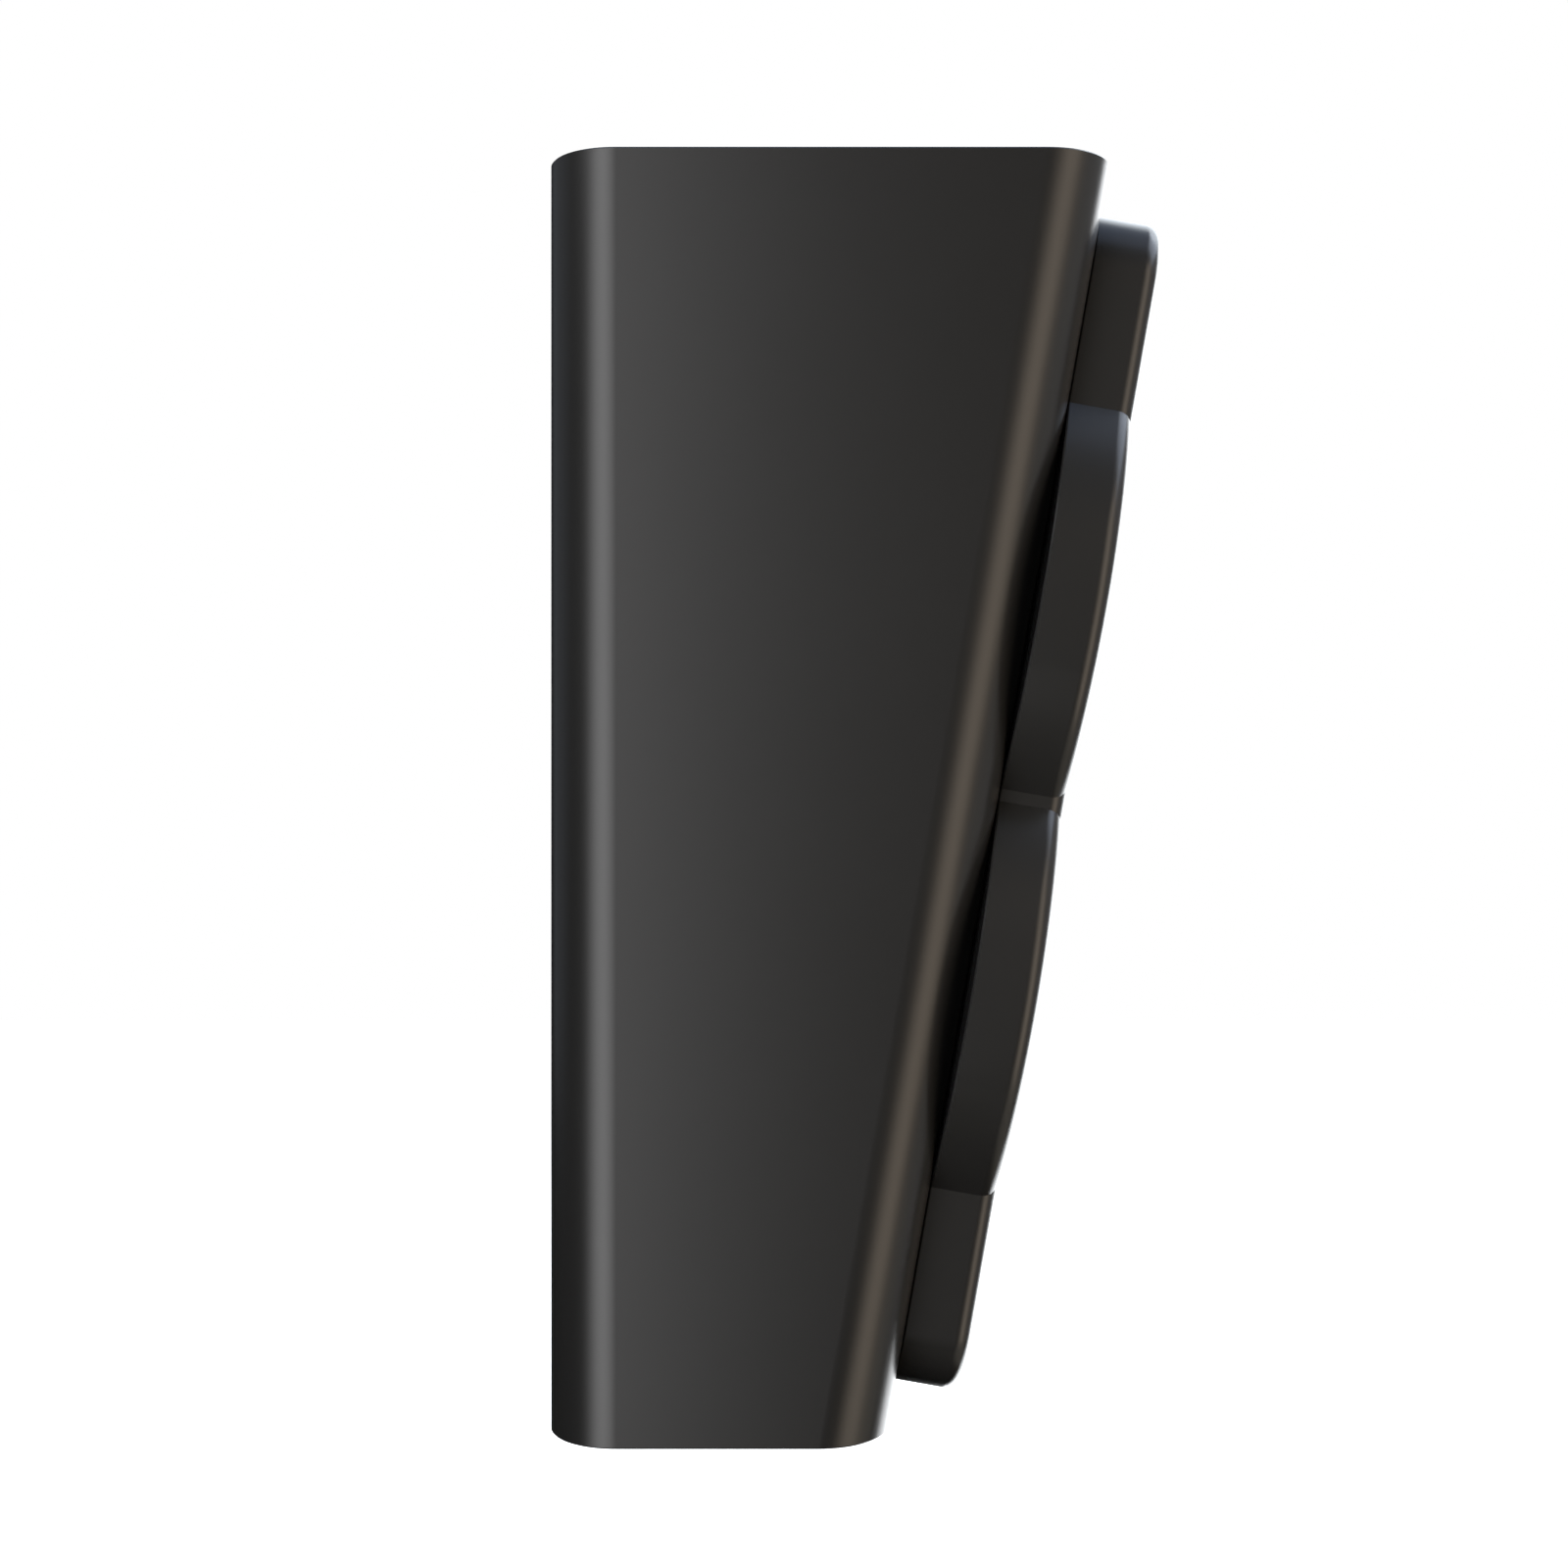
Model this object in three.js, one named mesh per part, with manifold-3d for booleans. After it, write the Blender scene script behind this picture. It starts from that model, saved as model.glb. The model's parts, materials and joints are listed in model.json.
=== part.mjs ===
// Pedestrian traffic light: a deep moulded housing that narrows towards its foot, with a hinged front door
// that holds two round signal modules. Millimetres, +Z up. The origin is the middle of the flat back, the front
// looks towards -Y and leans 10 degrees towards the ground, and the door is hinged on the +X side.
import * as THREE from "three";
import { mergeVertices } from "three/addons/utils/BufferGeometryUtils.js";
import Module from "manifold-3d";

const wasm = await Module();
wasm.setup();

// Driving dimensions.
const HOUSING = { width: 344, height: 700, depth: 248, corner: 39, wall: 4, lean: 10 };
const DOOR = { width: 266, height: 675, corner: 39, thick: 38.1, edge: 9, wall: 4, gap: 0.6, lobeStep: 0.6 };
const LENS = { pitch: 225, rise: 1.8, sight: 100, mouth: 108, flange: 108.5, ring: 112, screwCircle: 116 };
const OPENING = { width: 232, height: 540, corner: 20 };
const HINGE = { x: 181, y: -10, barrel: 6, pin: 3, middle: 20, outer: 14 };
const LATCH = { x: -95, z: 258, shank: 5, head: 9, recess: 5, sleeve: 10.5, cam: 26 };
const GAP = 0.3; // between pieces that touch
const lean = THREE.MathUtils.degToRad(HOUSING.lean);
const lobeRadius = HOUSING.width / 2;
const lensZ = { upper: LENS.rise + LENS.pitch / 2, lower: LENS.rise - LENS.pitch / 2 };

// Materials.
function finish(color, roughness, metalness = 0) {
  return new THREE.MeshStandardMaterial({ color, roughness, metalness });
}
const FINISH = {
  housing: finish(0x2b2b2a, 0.38, 0.1),
  door: finish(0x272726, 0.36),
  steel: finish(0xb4b6b8, 0.35, 0.9),
  zinc: finish(0x9a9c9e, 0.45, 0.8),
  rubber: finish(0x141414, 0.8),
  clear: finish(0xd8dde0, 0.08),
  black: finish(0x0c0c0c, 0.7),
  red: finish(0xb01410, 0.35),
  green: finish(0x0f8f4c, 0.35),
  board: finish(0x1d5a35, 0.5),
  grey: finish(0x6d7072, 0.5),
};

// Tools.
const root = new THREE.Group();
const front = new THREE.Group(); // x as the part, y into the housing, z up along the leaning front
front.position.y = -HOUSING.depth;
front.rotation.x = lean;
root.add(front);

function toSolid(geometry) {
  const bare = new THREE.BufferGeometry().setAttribute("position", geometry.getAttribute("position"));
  if (geometry.index) bare.setIndex(geometry.index);
  const merged = mergeVertices(bare, 1e-4);
  const vertProperties = new Float32Array(merged.attributes.position.array);
  const triVerts = new Uint32Array(merged.index.array);
  return new wasm.Manifold(new wasm.Mesh({ numProp: 3, vertProperties, triVerts }));
}

function toGeometry(solid) {
  const { vertProperties, triVerts } = solid.getMesh();
  return new THREE.BufferGeometry()
    .setAttribute("position", new THREE.BufferAttribute(new Float32Array(vertProperties), 3))
    .setIndex(new THREE.BufferAttribute(new Uint32Array(triVerts), 1));
}

function place(group, name, solid, material) {
  const mesh = new THREE.Mesh(toGeometry(solid), material);
  mesh.name = name;
  group.add(mesh);
  return mesh;
}

const unite = (...solids) => solids.reduce((all, next) => all.add(next));
const cut = (solid, ...tools) => tools.reduce((left, tool) => left.subtract(tool), solid);

// A box between two corners.
function block(low, high) {
  const size = high.map((value, axis) => value - low[axis]);
  const middle = high.map((value, axis) => (value + low[axis]) / 2);
  return toSolid(new THREE.BoxGeometry(...size).translate(...middle));
}

// A shape drawn in x and z, made solid from y = back forwards to y = face.
function slab(shape, back, face, curveSegments = 4) {
  const geometry = new THREE.ExtrudeGeometry(shape, { depth: back - face, bevelEnabled: false, curveSegments });
  return toSolid(geometry.rotateX(Math.PI / 2).translate(0, back, 0));
}

// The same with its front edge rounded over.
function roundedSlab(shape, back, face, edge, curveSegments) {
  const geometry = new THREE.ExtrudeGeometry(shape, {
    depth: back - face,
    bevelSize: edge,
    bevelThickness: edge,
    bevelOffset: -edge,
    bevelSegments: 2,
    curveSegments,
  });
  const solid = toSolid(geometry.rotateX(Math.PI / 2).translate(0, back + edge, 0));
  const far = 2 * HOUSING.height;
  return cut(solid, block([-far, back, -far], [far, back + far, far]));
}

function roundedRect(width, height, corner, x = 0, z = 0) {
  const [w, h] = [width / 2 - corner, height / 2 - corner];
  const shape = new THREE.Shape();
  shape.absarc(x + w, z + h, corner, 0, Math.PI / 2);
  shape.absarc(x - w, z + h, corner, Math.PI / 2, Math.PI);
  shape.absarc(x - w, z - h, corner, Math.PI, Math.PI * 1.5);
  shape.absarc(x + w, z - h, corner, Math.PI * 1.5, Math.PI * 2);
  return shape;
}

function circle(radius, x = 0, z = 0) {
  return new THREE.Shape().absarc(x, z, radius, 0, Math.PI * 2);
}

// A limb of a figure: a line from one point to another with round ends.
function limb(x0, z0, x1, z1, radius) {
  const along = Math.atan2(z1 - z0, x1 - x0);
  const shape = new THREE.Shape();
  shape.absarc(x1, z1, radius, along - Math.PI / 2, along + Math.PI / 2);
  shape.absarc(x0, z0, radius, along + Math.PI / 2, along + Math.PI * 1.5);
  return shape;
}

// A profile of [radius, y] points turned about the y axis, then moved to x and z.
function turned(profile, x = 0, z = 0, segments = 28) {
  const points = profile.map(([radius, y]) => new THREE.Vector2(radius, y));
  return toSolid(new THREE.LatheGeometry(points, segments).translate(x, 0, z));
}

// A round bar along y from y = low to y = high.
function bar(radius, low, high, x = 0, z = 0, segments = 16) {
  return turned([[0, low], [radius, low], [radius, high], [0, high]], x, z, segments);
}

// Housing.
const frontAt = (z) => HOUSING.depth + z * Math.tan(lean); // distance from the back to the front at a height

// The housing's level outline at a height, taken in by a distance.
function outlineAt(z, inset) {
  const frontInset = inset / Math.cos(lean);
  const length = frontAt(z) - inset - frontInset;
  const middle = -(inset + length / 2);
  const shape = roundedRect(HOUSING.width - 2 * inset, length, HOUSING.corner - inset, 0, middle);
  return shape.extractPoints(5).shape;
}

// A solid between two level outlines with the same number of points.
function loft(bottom, top, z0, z1) {
  const count = bottom.length;
  const positions = [...bottom.map((p) => [p.x, p.y, z0]), ...top.map((p) => [p.x, p.y, z1])].flat();
  const index = [];
  for (let i = 0; i < count; i++) {
    const next = (i + 1) % count;
    index.push(i, next, count + next, i, count + next, count + i);
  }
  for (const [a, b, c] of THREE.ShapeUtils.triangulateShape(bottom, [])) {
    index.push(c, b, a, count + a, count + b, count + c);
  }
  const geometry = new THREE.BufferGeometry();
  geometry.setAttribute("position", new THREE.Float32BufferAttribute(positions, 3)).setIndex(index);
  return toSolid(geometry);
}

// The inside or outside of the housing between two heights, without the doubled points where arcs meet.
function housingBlock(z0, z1, inset) {
  const distinct = (points) => points.filter((p, i) => p.distanceTo(points.at(i - 1)) > 1e-4);
  return loft(distinct(outlineAt(z0, inset)), distinct(outlineAt(z1, inset)), z0, z1);
}

const toPartFrame = (solid) => {
  const geometry = toGeometry(solid).rotateX(lean).translate(0, -HOUSING.depth, 0);
  return toSolid(geometry);
};

// A round bar along z, and two heights put in order.
function upright(radius, z0, z1, x, y, segments = 12) {
  const geometry = new THREE.CylinderGeometry(radius, radius, z1 - z0, segments);
  return toSolid(geometry.rotateX(Math.PI / 2).translate(x, y, (z0 + z1) / 2));
}
const span = (a, b) => [Math.min(a, b), Math.max(a, b)];

const half = HOUSING.height / 2;
const CAP = {
  thick: 4, boss: 8, bossDepth: 30, bossX: 154, bossInset: 19,
  screw: 2.5, screwLength: 16, head: 4.6, sink: 2.6, slot: [5.4, 1], slotDepth: 1.4,
};

// The four screw places of a cap, at the height of its end.
function capScrews(end) {
  const z = end * (half - CAP.thick - CAP.bossDepth / 2);
  const rows = [-CAP.bossInset, -(frontAt(z) - CAP.bossInset - HOUSING.wall)];
  return rows.flatMap((y) => [-CAP.bossX, CAP.bossX].map((x) => [x, y]));
}

const MOUNT = { x: 75, z: 250, hole: 4.5, cableZ: -180, cable: 15.7 };
const mountHoles = [-1, 1].flatMap((i) => [-1, 1].map((k) => [i * MOUNT.x, k * MOUNT.z]));

function makeHousing() {
  let shell = cut(housingBlock(-half, half, 0), housingBlock(-half - 1, half + 1, HOUSING.wall));
  for (const end of [-1, 1]) {
    const tip = end * (half - CAP.thick - GAP);
    const foot = tip - end * CAP.bossDepth;
    for (const [x, y] of capScrews(end)) {
      shell = unite(shell, upright(CAP.boss, ...span(tip, foot), x, y));
    }
    for (const [x, y] of capScrews(end)) {
      const deep = tip - end * (CAP.screwLength + 2);
      shell = cut(shell, upright(CAP.screw + GAP, ...span(tip + end, deep), x, y, 8));
    }
  }
  const mouth = slab(roundedRect(OPENING.width, OPENING.height, OPENING.corner), 20, -20);
  shell = cut(shell, toPartFrame(mouth));
  for (const [x, z] of mountHoles) shell = cut(shell, bar(MOUNT.hole, -20, 1, x, z, 16));
  shell = cut(shell, bar(MOUNT.cable + GAP, -20, 1, 0, MOUNT.cableZ));
  for (const z of Object.values(lensZ)) {
    for (const y of LEAF.screws) {
      shell = cut(shell, toPartFrame(leafScrew(z, y, LEAF.screw + GAP, 140, 180)));
    }
  }
  place(root, "housing_shell", shell, FINISH.housing);
}

function makeCap(name, end) {
  const edge = end * half;
  const inner = end * (half - CAP.thick);
  let cap = housingBlock(...span(edge, inner), HOUSING.wall + GAP);
  capScrews(end).forEach(([x, y], i) => {
    const tool = unite(
      upright(CAP.screw + GAP, -half - 1, half + 1, x, y, 8),
      upright(CAP.head + GAP, ...span(edge + end, edge - end * CAP.sink), x, y),
    );
    cap = cut(cap, tool);
    place(root, `${name}_screw_${i + 1}`, capScrew(x, y, edge, end), FINISH.steel);
  });
  if (end < 0) cap = cut(cap, ventTool());
  place(root, name, cap, FINISH.housing);
}

// A cap screw: a pan head sunk into the cap, with a cross slot, and a shank into its boss.
function capScrew(x, y, edge, end) {
  const headLow = edge - end * (CAP.sink - GAP);
  let screw = unite(
    upright(CAP.head, ...span(edge - end * GAP, headLow), x, y),
    upright(CAP.screw, ...span(headLow + end, edge - end * (CAP.screwLength + 4)), x, y, 8),
  );
  const [long, narrow] = CAP.slot;
  for (const [w, d] of [[long, narrow], [narrow, long]]) {
    const [low, high] = span(edge + end, edge - end * CAP.slotDepth);
    screw = cut(screw, block([x - w / 2, y - d / 2, low], [x + w / 2, y + d / 2, high]));
  }
  return screw;
}

// A breathing drain plug in the bottom cap.
const VENT = { y: -95, body: 7, head: 11, sink: 2, length: 14, hole: 4, holeDepth: 11 };
function ventTool() {
  return unite(
    upright(VENT.body + GAP, -half - 1, -half + 10, 0, VENT.y),
    upright(VENT.head + GAP, -half - 1, -half + VENT.sink, 0, VENT.y),
  );
}
function makeVent() {
  const plug = unite(
    upright(VENT.head, -half + GAP, -half + VENT.sink - GAP, 0, VENT.y),
    upright(VENT.body, -half + 0.8, -half + VENT.length, 0, VENT.y),
  );
  const hole = upright(VENT.hole, -half - 1, -half + VENT.holeDepth, 0, VENT.y);
  place(root, "vent_plug", cut(plug, hole), FINISH.black);
}

// Back plate, rail, terminals.
const PLATE = { width: 200, height: 570, thick: 3, corner: 12 };
const RAIL = { z: 34, height: 35, lip: 5, deep: 7.5, thick: 1.2, low: -60, high: 140 };
const TERMINAL = {
  low: 70, high: 130, height: 46, deep: 40, ways: 6, port: 3, portDeep: 9, portEdge: [5, 12], split: 3,
};
const GROMMET = { hole: 9, flange: 20, flangeThick: 4, back: -0.4 };
const plateFace = -(HOUSING.wall + GAP + PLATE.thick);

function makeBackPlate() {
  let plate = slab(roundedRect(PLATE.width, PLATE.height, PLATE.corner), plateFace + PLATE.thick, plateFace, 4);
  for (const [x, z] of mountHoles) plate = cut(plate, bar(MOUNT.hole, -20, 1, x, z, 16));
  plate = cut(plate, bar(MOUNT.cable + GAP, -20, 1, 0, MOUNT.cableZ));
  place(root, "mounting_plate", plate, FINISH.zinc);
}

// A rubber grommet that lines the cable hole and ends level with the back.
function makeGrommet() {
  const { hole, flange, flangeThick, back } = GROMMET;
  const inner = plateFace - GAP;
  const profile = [
    [hole, back], [MOUNT.cable, back], [MOUNT.cable, inner], [flange, inner], [flange, inner - flangeThick],
    [hole, inner - flangeThick], [hole, back],
  ];
  place(root, "cable_grommet", turned(profile.reverse(), 0, MOUNT.cableZ, 16), FINISH.rubber);
}

// A top-hat rail along x.
function makeRail() {
  const back = plateFace - GAP;
  const [top, inner] = [RAIL.height / 2, RAIL.height / 2 - RAIL.lip];
  const hat = [
    [-inner, back], [inner, back], [inner, back - RAIL.deep + RAIL.thick], [top, back - RAIL.deep + RAIL.thick],
    [top, back - RAIL.deep], [inner - RAIL.thick, back - RAIL.deep], [inner - RAIL.thick, back - RAIL.thick],
    [-inner + RAIL.thick, back - RAIL.thick], [-inner + RAIL.thick, back - RAIL.deep], [-top, back - RAIL.deep],
    [-top, back - RAIL.deep + RAIL.thick], [-inner, back - RAIL.deep + RAIL.thick],
  ];
  const shape = new THREE.Shape(hat.map(([z, y]) => new THREE.Vector2(y, z)));
  const geometry = new THREE.ExtrudeGeometry(shape, { depth: RAIL.high - RAIL.low, bevelEnabled: false });
  const turn = new THREE.Matrix4().makeBasis(
    new THREE.Vector3(0, 1, 0), new THREE.Vector3(0, 0, 1), new THREE.Vector3(1, 0, 0));
  place(root, "din_rail", toSolid(geometry.applyMatrix4(turn).translate(RAIL.low, 0, RAIL.z)), FINISH.zinc);
}

// The row of terminals: one body with a screw well and a wire mouth in each way.
function makeTerminals() {
  const back = plateFace - GAP - RAIL.deep - GAP;
  const face = back - TERMINAL.deep;
  const [z0, z1] = [RAIL.z - TERMINAL.height / 2, RAIL.z + TERMINAL.height / 2];
  let body = block([TERMINAL.low, face, z0], [TERMINAL.high, back, z1]);
  const pitch = (TERMINAL.high - TERMINAL.low) / TERMINAL.ways;
  const { port, portDeep, split } = TERMINAL;
  const [near, far] = TERMINAL.portEdge;
  for (let i = 0; i < TERMINAL.ways; i++) {
    const x = TERMINAL.low + pitch * (i + 0.5);
    const seam = x - pitch / 2;
    body = cut(body, block([x - port, face - 1, z1 - far], [x + port, face + portDeep, z1 - near]));
    body = cut(body, block([x - port, face - 1, z0 + near], [x + port, face + portDeep, z0 + far]));
    if (i) body = cut(body, block([seam - GAP, face - 1, z0 - 1], [seam + GAP, face + split, z1 + 1]));
  }
  place(root, "terminal_block", body, FINISH.grey);
}

// Hinges.
const LEAF = {
  thick: 3.2, low: -3, high: 92, web: 14, screws: [58, 80], screw: 2.5, head: 4.8, headHigh: 2.6, socket: 1.6,
};
const sideX = HOUSING.width / 2 + GAP;
const leafHalf = HINGE.middle / 2 + GAP + HINGE.outer;

// A bar along z in the front group.
const pillar = (radius, z0, z1, x, y, segments = 14) => upright(radius, z0, z1, x, y, segments);

function leafScrew(z, y, radius, x0, x1) {
  const geometry = new THREE.CylinderGeometry(radius, radius, x1 - x0, 12).rotateZ(Math.PI / 2);
  return toSolid(geometry.translate((x0 + x1) / 2, y, z));
}

function makeHinge(side) {
  const z = lensZ[side];
  const plate = block([sideX, LEAF.low, z - leafHalf], [sideX + LEAF.thick, LEAF.high, z + leafHalf]);
  const webShape = new THREE.Shape([
    [sideX, LEAF.web], [sideX + LEAF.thick, LEAF.web], [HINGE.x + 5, HINGE.y + 3],
    [HINGE.x, HINGE.y], [HINGE.x - 5, HINGE.y + 3], [sideX, -2],
  ].map(([x, y]) => new THREE.Vector2(x, y)));
  const knuckle = (z0) => {
    const web = new THREE.ExtrudeGeometry(webShape, { depth: HINGE.outer, bevelEnabled: false });
    const barrel = pillar(HINGE.barrel, z0, z0 + HINGE.outer, HINGE.x, HINGE.y);
    return unite(toSolid(web.translate(0, 0, z0)), barrel);
  };
  let leaf = unite(plate, knuckle(z - leafHalf), knuckle(z + leafHalf - HINGE.outer));
  leaf = cut(leaf, pillar(HINGE.pin + GAP, z - leafHalf - 1, z + leafHalf + 1, HINGE.x, HINGE.y, 16));
  LEAF.screws.forEach((y, i) => {
    leaf = cut(leaf, leafScrew(z, y, LEAF.screw + GAP, 160, 190));
    const outside = sideX + LEAF.thick + GAP;
    const head = leafScrew(z, y, LEAF.head, outside, outside + LEAF.headHigh);
    const socket = leafScrew(z, y, LEAF.socket, outside + 1, outside + 4);
    const screw = cut(unite(head, leafScrew(z, y, LEAF.screw, 158, outside + 1)), socket);
    place(front, `hinge_screw_${side}_${i + 1}`, screw, FINISH.steel);
  });
  place(front, `hinge_leaf_${side}`, leaf, FINISH.housing);
  const pin = unite(
    pillar(HINGE.pin, z - leafHalf - 3, z + leafHalf + 1, HINGE.x, HINGE.y, 16),
    pillar(HINGE.barrel - 1, z + leafHalf + GAP, z + leafHalf + 3, HINGE.x, HINGE.y, 16),
  );
  place(front, `hinge_pin_${side}`, pin, FINISH.steel);
}

// Door.
const doorBack = -DOOR.gap;
const doorFace = -DOOR.thick;
const SEAL = { width: 238, height: 556, thick: 2, rib: 8, corner: 24 };
const TUBE = { back: -8, wall: 3.5 };
const POST = { radius: 5.5, hole: 2.3, deep: -18 };
const sealOuter = roundedRect(SEAL.width + 2 * SEAL.rib, SEAL.height + 2 * SEAL.rib, SEAL.corner + SEAL.rib);
const sealInner = roundedRect(SEAL.width, SEAL.height, SEAL.corner);
const ringEars = (side) => {
  const up = side === "upper" ? 1 : -1;
  return [90, 210, 330].map((degrees) => {
    const angle = THREE.MathUtils.degToRad(degrees);
    return [LENS.screwCircle * Math.cos(angle), lensZ[side] + up * LENS.screwCircle * Math.sin(angle)];
  });
};

// The door: a moulded shell, open at its back, with a flared tube to each lens, a rib for the seal,
// posts for the screws, a sleeve for each latch and a knuckle on each round ear.
function makeDoor() {
  const hollow = roundedRect(DOOR.width - 2 * DOOR.wall, DOOR.height - 2 * DOOR.wall, DOOR.corner - DOOR.wall);
  let shell = roundedSlab(roundedRect(DOOR.width, DOOR.height, DOOR.corner), doorBack, doorFace, DOOR.edge, 4);
  let inside = slab(hollow, doorBack + 5, doorFace + DOOR.wall);
  for (const z of Object.values(lensZ)) {
    const lobe = roundedSlab(circle(lobeRadius, 0, z), doorBack, doorFace + DOOR.lobeStep, DOOR.edge, 20);
    shell = unite(shell, lobe);
    inside = unite(inside, slab(circle(lobeRadius - DOOR.wall, 0, z), doorBack + 5, doorFace + DOOR.wall, 20));
  }
  shell = cut(shell, inside);
  const ribBack = -GAP - SEAL.thick - GAP;
  const rib = cut(slab(sealOuter, ribBack, doorFace + 1, 5), slab(sealInner, 5, doorFace - 5, 5));
  shell = unite(shell, rib);
  for (const side of ["upper", "lower"]) {
    const z = lensZ[side];
    const flare = [
      [0, doorFace + 1], [LENS.mouth + TUBE.wall, doorFace + 1],
      [LENS.sight + TUBE.wall, TUBE.back], [0, TUBE.back],
    ];
    shell = unite(shell, turned(flare, 0, z));
    for (const [x, earZ] of ringEars(side)) {
      shell = unite(shell, bar(POST.radius, doorFace + 2, doorBack, x, earZ, 12));
    }
    shell = unite(shell, bar(LATCH.sleeve, doorFace + 2, doorBack, LATCH.x, Math.sign(z) * LATCH.z));
    const [low, high] = [z - HINGE.middle / 2, z + HINGE.middle / 2];
    const neck = block([lobeRadius - 4, HINGE.y - 5, low], [HINGE.x, HINGE.y + 5, high]);
    const knuckle = pillar(HINGE.barrel, low, high, HINGE.x, HINGE.y);
    shell = unite(shell, neck, knuckle);
  }
  for (const side of ["upper", "lower"]) {
    const z = lensZ[side];
    const latchZ = Math.sign(z) * LATCH.z;
    const sight = [
      [0, doorFace - 1], [LENS.mouth, doorFace - 1], [LENS.sight, TUBE.back + 1], [0, TUBE.back + 1],
    ];
    shell = cut(shell, turned(sight, 0, z));
    for (const [x, earZ] of ringEars(side)) {
      shell = cut(shell, bar(POST.hole, POST.deep, doorBack + 1, x, earZ, 8));
    }
    const shankHole = bar(LATCH.shank + GAP, doorFace - 1, 1, LATCH.x, latchZ);
    const headHole = bar(LATCH.head + GAP, doorFace - 1, doorFace + LATCH.recess, LATCH.x, latchZ);
    const pinHole = pillar(HINGE.pin + GAP, z - HINGE.middle, z + HINGE.middle, HINGE.x, HINGE.y, 16);
    shell = cut(shell, shankHole, headHole, pinHole);
  }
  place(front, "door_frame", shell, FINISH.door);
  const seal = cut(slab(sealOuter, -GAP, -GAP - SEAL.thick, 5), slab(sealInner, 5, -5, 5));
  place(front, "door_seal", seal, FINISH.rubber);
}

// Latches.
// A quarter-turn screw with a cam. The cam points into the door opening when the latch is open, and a quarter
// turn swings it behind the keeper.
const CAM = { face: 7, thick: 4, half: 6 };
const SPINDLE = {
  slot: 0.9, slotHalf: 7, slotDeep: 1.8, headHigh: 4.2, square: 3.6, thread: 2.6, nut: 5.5, nutThick: 4,
};
const KEEPER = { width: 44, deep: 22, thick: 2 };

function makeLatch(side) {
  const end = Math.sign(lensZ[side]);
  const z = end * LATCH.z;
  const headFace = doorFace + GAP;
  const camBack = CAM.face + CAM.thick;
  const square = (grow, low, high) => {
    const reach = SPINDLE.square + grow;
    return block([LATCH.x - reach, low, z - reach], [LATCH.x + reach, high, z + reach]);
  };
  const screw = unite(
    bar(LATCH.head, headFace, headFace + SPINDLE.headHigh, LATCH.x, z),
    bar(LATCH.shank, headFace + 4, CAM.face - 0.6, LATCH.x, z),
    square(0, CAM.face - 1, camBack - 0.5),
    bar(SPINDLE.thread, camBack - 1, camBack + SPINDLE.nutThick + 2, LATCH.x, z),
  );
  const slot = block(
    [LATCH.x - SPINDLE.slotHalf, headFace - 1, z - SPINDLE.slot],
    [LATCH.x + SPINDLE.slotHalf, headFace + SPINDLE.slotDeep, z + SPINDLE.slot]);
  place(front, `latch_screw_${side}`, cut(screw, slot), FINISH.steel);
  const arm = slab(limb(LATCH.x, z, LATCH.x + LATCH.cam - CAM.half, z, CAM.half), camBack, CAM.face);
  place(front, `latch_cam_${side}`, cut(arm, square(GAP, 0, 30)), FINISH.zinc);
  const nutFace = camBack + GAP;
  const nut = cut(bar(SPINDLE.nut, nutFace, nutFace + SPINDLE.nutThick, LATCH.x, z, 6),
    bar(SPINDLE.thread + GAP, 0, 30, LATCH.x, z));
  place(front, `latch_nut_${side}`, nut, FINISH.steel);
  const near = end * (OPENING.height / 2 + 1);
  const far = near + end * KEEPER.deep;
  const inner = HOUSING.wall + GAP;
  const low = [LATCH.x - KEEPER.width / 2, inner, Math.min(near, far)];
  const high = [LATCH.x + KEEPER.width / 2, inner + KEEPER.thick, Math.max(near, far)];
  place(front, `latch_keeper_${side}`, block(low, high), FINISH.zinc);
}

// Signal modules.
const CAN = { face: -3.1, flange: 2.5, radius: 103, tail: 78, shoulder: 10, back: 58, wall: 2.5 };
const DOME = { seal: [100.5, -7.7, -6.2], middle: -13.9, waist: [54, -11.8], rim: [98, -5.9], thick: 2.5 };
const DISC = { radius: 100, mask: [0, 1.2], diffuser: [1.5, 3.5] };
const BOARD = { radius: 91, face: 24, back: 25.6, lamp: 3, rings: [[0, 1], [40, 8], [76, 14]] };
const DRIVER = {
  halfWidth: 50, halfHeight: 32, face: 42, back: 43.6,
  // Each part on the board is [x, z, width, height, depth].
  parts: [[-28, 6, 26, 22, 9], [6, -10, 14, 14, 8], [32, 12, 18, 16, 6], [30, -16, 10, 12, 8]],
};
const RING = { thick: 3, ear: 6.5, screw: 2, head: 4, headHigh: 2.6, screwTip: -16, slot: 1 };
const GLAND = { x: 62, thread: 5.8, hole: 3.2, head: 9, collar: 8, inside: 6 };
const FIGURES = {
  // Each limb is [x0, z0, x1, z1, radius] about the middle of the lens. The first is the head.
  standing: [
    [0, 60, 0.1, 60, 13], [-16, 33, 16, 33, 8], [-11, 33, -8, -14, 8], [11, 33, 8, -14, 8],
    [-22, 32, -25, -8, 5], [22, 32, 25, -8, 5], [-9, -14, -9, -70, 7.5], [9, -14, 9, -70, 7.5],
    [0, 30, 0, -8, 10],
  ],
  walking: [
    [-6, 62, -5.9, 62, 13], [0, 34, 3, -6, 13], [-4, 34, -26, 14, 5], [-26, 14, -38, -6, 5],
    [6, 34, 22, 10, 5], [22, 10, 36, 4, 5], [0, -8, -16, -38, 8], [-16, -38, -30, -70, 7],
    [6, -8, 18, -36, 8], [18, -36, 36, -66, 7],
  ],
};

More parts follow.
